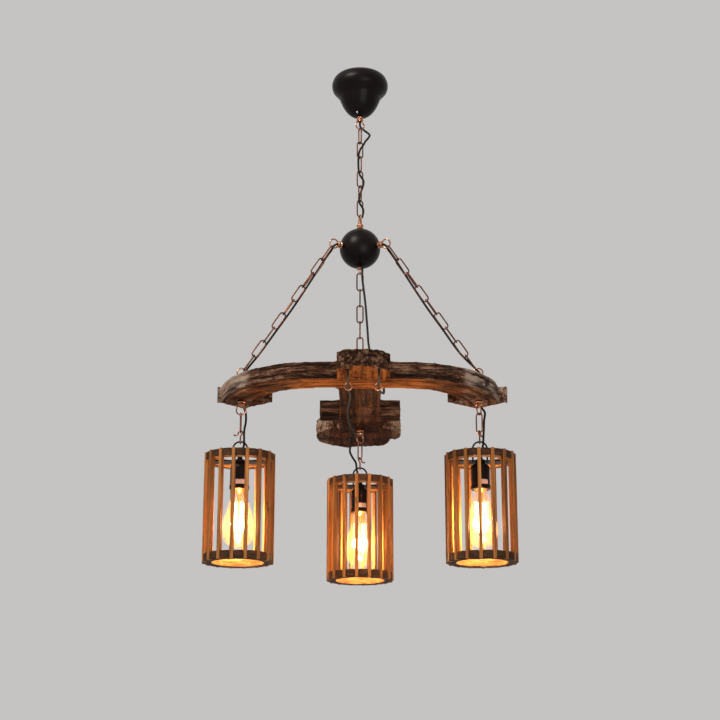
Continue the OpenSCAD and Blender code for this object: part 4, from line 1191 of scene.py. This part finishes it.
for lamp in LAMPS:
    rod_end = high(f"{lamp}_bulb").z - ROD_L
    mesh = grow(f"{lamp}_filament", filament_leg(LEG_L), ring_tree, glow, Count=FILAMENT_N, Radius=CAGE_R,
                First_angle=0.0)
    mesh.transform(Matrix.Translation(over(lamp, rod_end + LEG_UP)))
    fit(f"{lamp}_filament", mesh, f"{lamp}_lightbulb")
    paint(f"{lamp}_bulb", glass)
    add_light(f"{lamp}_glow", "POINT", over(lamp, rod_end + LAMP_UP), LAMP_POWER, LAMP_COLOUR, LAMP_SIZE)
    print(lamp, "filament faces", len(mesh.polygons))

# %% [markdown]
# Two small things finish it. A steel set screw holds the canopy at its foot. A pale blank band is
# wrapped round the front of each lampholder near its mouth.

# %% Set screw and bands
SCREW_AT = Vector((-6 * MM, -17 * MM, low("canopy").z + 2 * MM))
SCREW_R, SCREW_TOP_R, SCREW_H = 2.4 * MM, 1.8 * MM, 1.6 * MM
SLOT_W, SLOT_H = 0.7 * MM, 0.4 * MM
BAND_LOW, BAND_H, BAND_T, BAND_OFF = 7 * MM, 11 * MM, 0.4 * MM, 0.05 * MM
BAND_SPREAD, BAND_TURN, BAND_STEPS = math.radians(62), math.radians(12), 20


def screw_mesh(at, way):
    """A low rounded head with a slot, standing out along a direction."""
    bm = bmesh.new()
    bmesh.ops.create_cone(bm, cap_ends=True, segments=24, radius1=SCREW_R, radius2=SCREW_TOP_R,
                          depth=SCREW_H)
    for vertex in bm.verts:
        if vertex.co.z > 0 and abs(vertex.co.y) < SLOT_W / 2:
            vertex.co.z -= SLOT_H
    mesh = mesh_from("set_screw", bm)
    mesh.transform(Matrix.Translation(at) @ way.to_track_quat("Z", "Y").to_matrix().to_4x4())
    return mesh


at, way = tree_of("canopy").find_nearest(SCREW_AT)[:2]
if way.z > 0:
    way = -way
fit("set_screw", screw_mesh(at, way), CANOPY, material=zinc)


def band_mesh(centre, low_z, radius):
    """A thin curved patch with a front, a back and closed edges."""
    inside, outside, top_z = radius, radius + BAND_T, low_z + BAND_H
    section = ((inside, low_z), (inside, top_z), (outside, top_z), (outside, low_z))
    vertices = []
    for i in range(BAND_STEPS + 1):
        a = BAND_TURN - math.pi / 2 + BAND_SPREAD * (i / BAND_STEPS - 0.5)
        vertices += [(centre.x + r * math.cos(a), centre.y + r * math.sin(a), z) for r, z in section]
    return plain_mesh("band", vertices, skin(BAND_STEPS + 1, len(section)))


paper = make_metal("blank_band", (0.50, 0.36, 0.28), (0.66, 0.52, 0.42), (0.5, 0.6), 0.0, 60)
for lamp in LAMPS:
    mouth = low(f"{lamp}_lampholder").z
    outside = Vector((place[lamp].x, place[lamp].y - 50 * MM, mouth + BAND_LOW + BAND_H / 2))
    hit = tree_of(f"{lamp}_lampholder").ray_cast(outside, Vector((0, 1, 0)))[0]
    radius = place[lamp].y - hit.y
    mesh = band_mesh(place[lamp], mouth + BAND_LOW, radius + BAND_OFF)
    fit(f"{lamp}_band", mesh, f"{lamp}_lamp", material=paper)
    print(lamp, "band radius", round(radius, 4))

# %% [markdown]
# A plain pale floor far below and an even sky stand in for the studio. The background colour is
# kept apart from the light by asking which rays come from the camera, a mirror or a window.

# %% Floor and sky
FLOOR_Z, FLOOR_R = -3.8, 80
SKY_LIGHT, SKY_SEEN = (0.97, 0.97, 0.97), (0.56, 0.55, 0.54)
AIM = (0, 0, -0.6)


def make_floor():
    bm = bmesh.new()
    bmesh.ops.create_circle(bm, cap_ends=True, segments=128, radius=FLOOR_R)
    bmesh.ops.translate(bm, verts=bm.verts, vec=(0, 0, FLOOR_Z))
    material, tree, shader = new_material("floor_paint")
    cloud = noise_of(tree, stretched(tree), 3)
    pale = ramp(tree, cloud, (0.0, (0.80, 0.79, 0.78)), (1.0, (0.84, 0.83, 0.82)))
    feed(tree, shader, Base_Color=pale, Roughness=0.9)
    dress(add("floor", mesh_from("floor", bm)), material)


def make_sky():
    world = bpy.data.worlds.new("sky")
    bpy.context.scene.world = world
    world.use_nodes = True
    tree = world.node_tree
    light = feed(tree, tree.nodes["Background"], Color=SKY_LIGHT, Strength=0.55)
    seen = node(tree, "ShaderNodeBackground", Color=SKY_SEEN, Strength=1.0)
    path = tree.nodes.new("ShaderNodeLightPath").outputs
    either = math_node(tree, "MAXIMUM", path["Is Camera Ray"], path["Is Glossy Ray"])
    either = math_node(tree, "MAXIMUM", either, path["Is Transmission Ray"])
    mix = node(tree, "ShaderNodeMixShader", Fac=either)
    plug(tree, mix.inputs[1], light.outputs[0])
    plug(tree, mix.inputs[2], seen.outputs[0])
    plug(tree, tree.nodes["World Output"].inputs["Surface"], mix.outputs[0])


make_floor()
make_sky()
add_light("key_light", "AREA", (-1.6, -2.0, 1.6), 95, (1.0, 0.98, 0.95), 1.2, AIM)
add_light("fill_light", "AREA", (1.2, -3.2, -1.4), 30, (0.99, 0.99, 1.0), 1.6, AIM)
bpy.context.scene.view_settings.view_transform = "Standard"
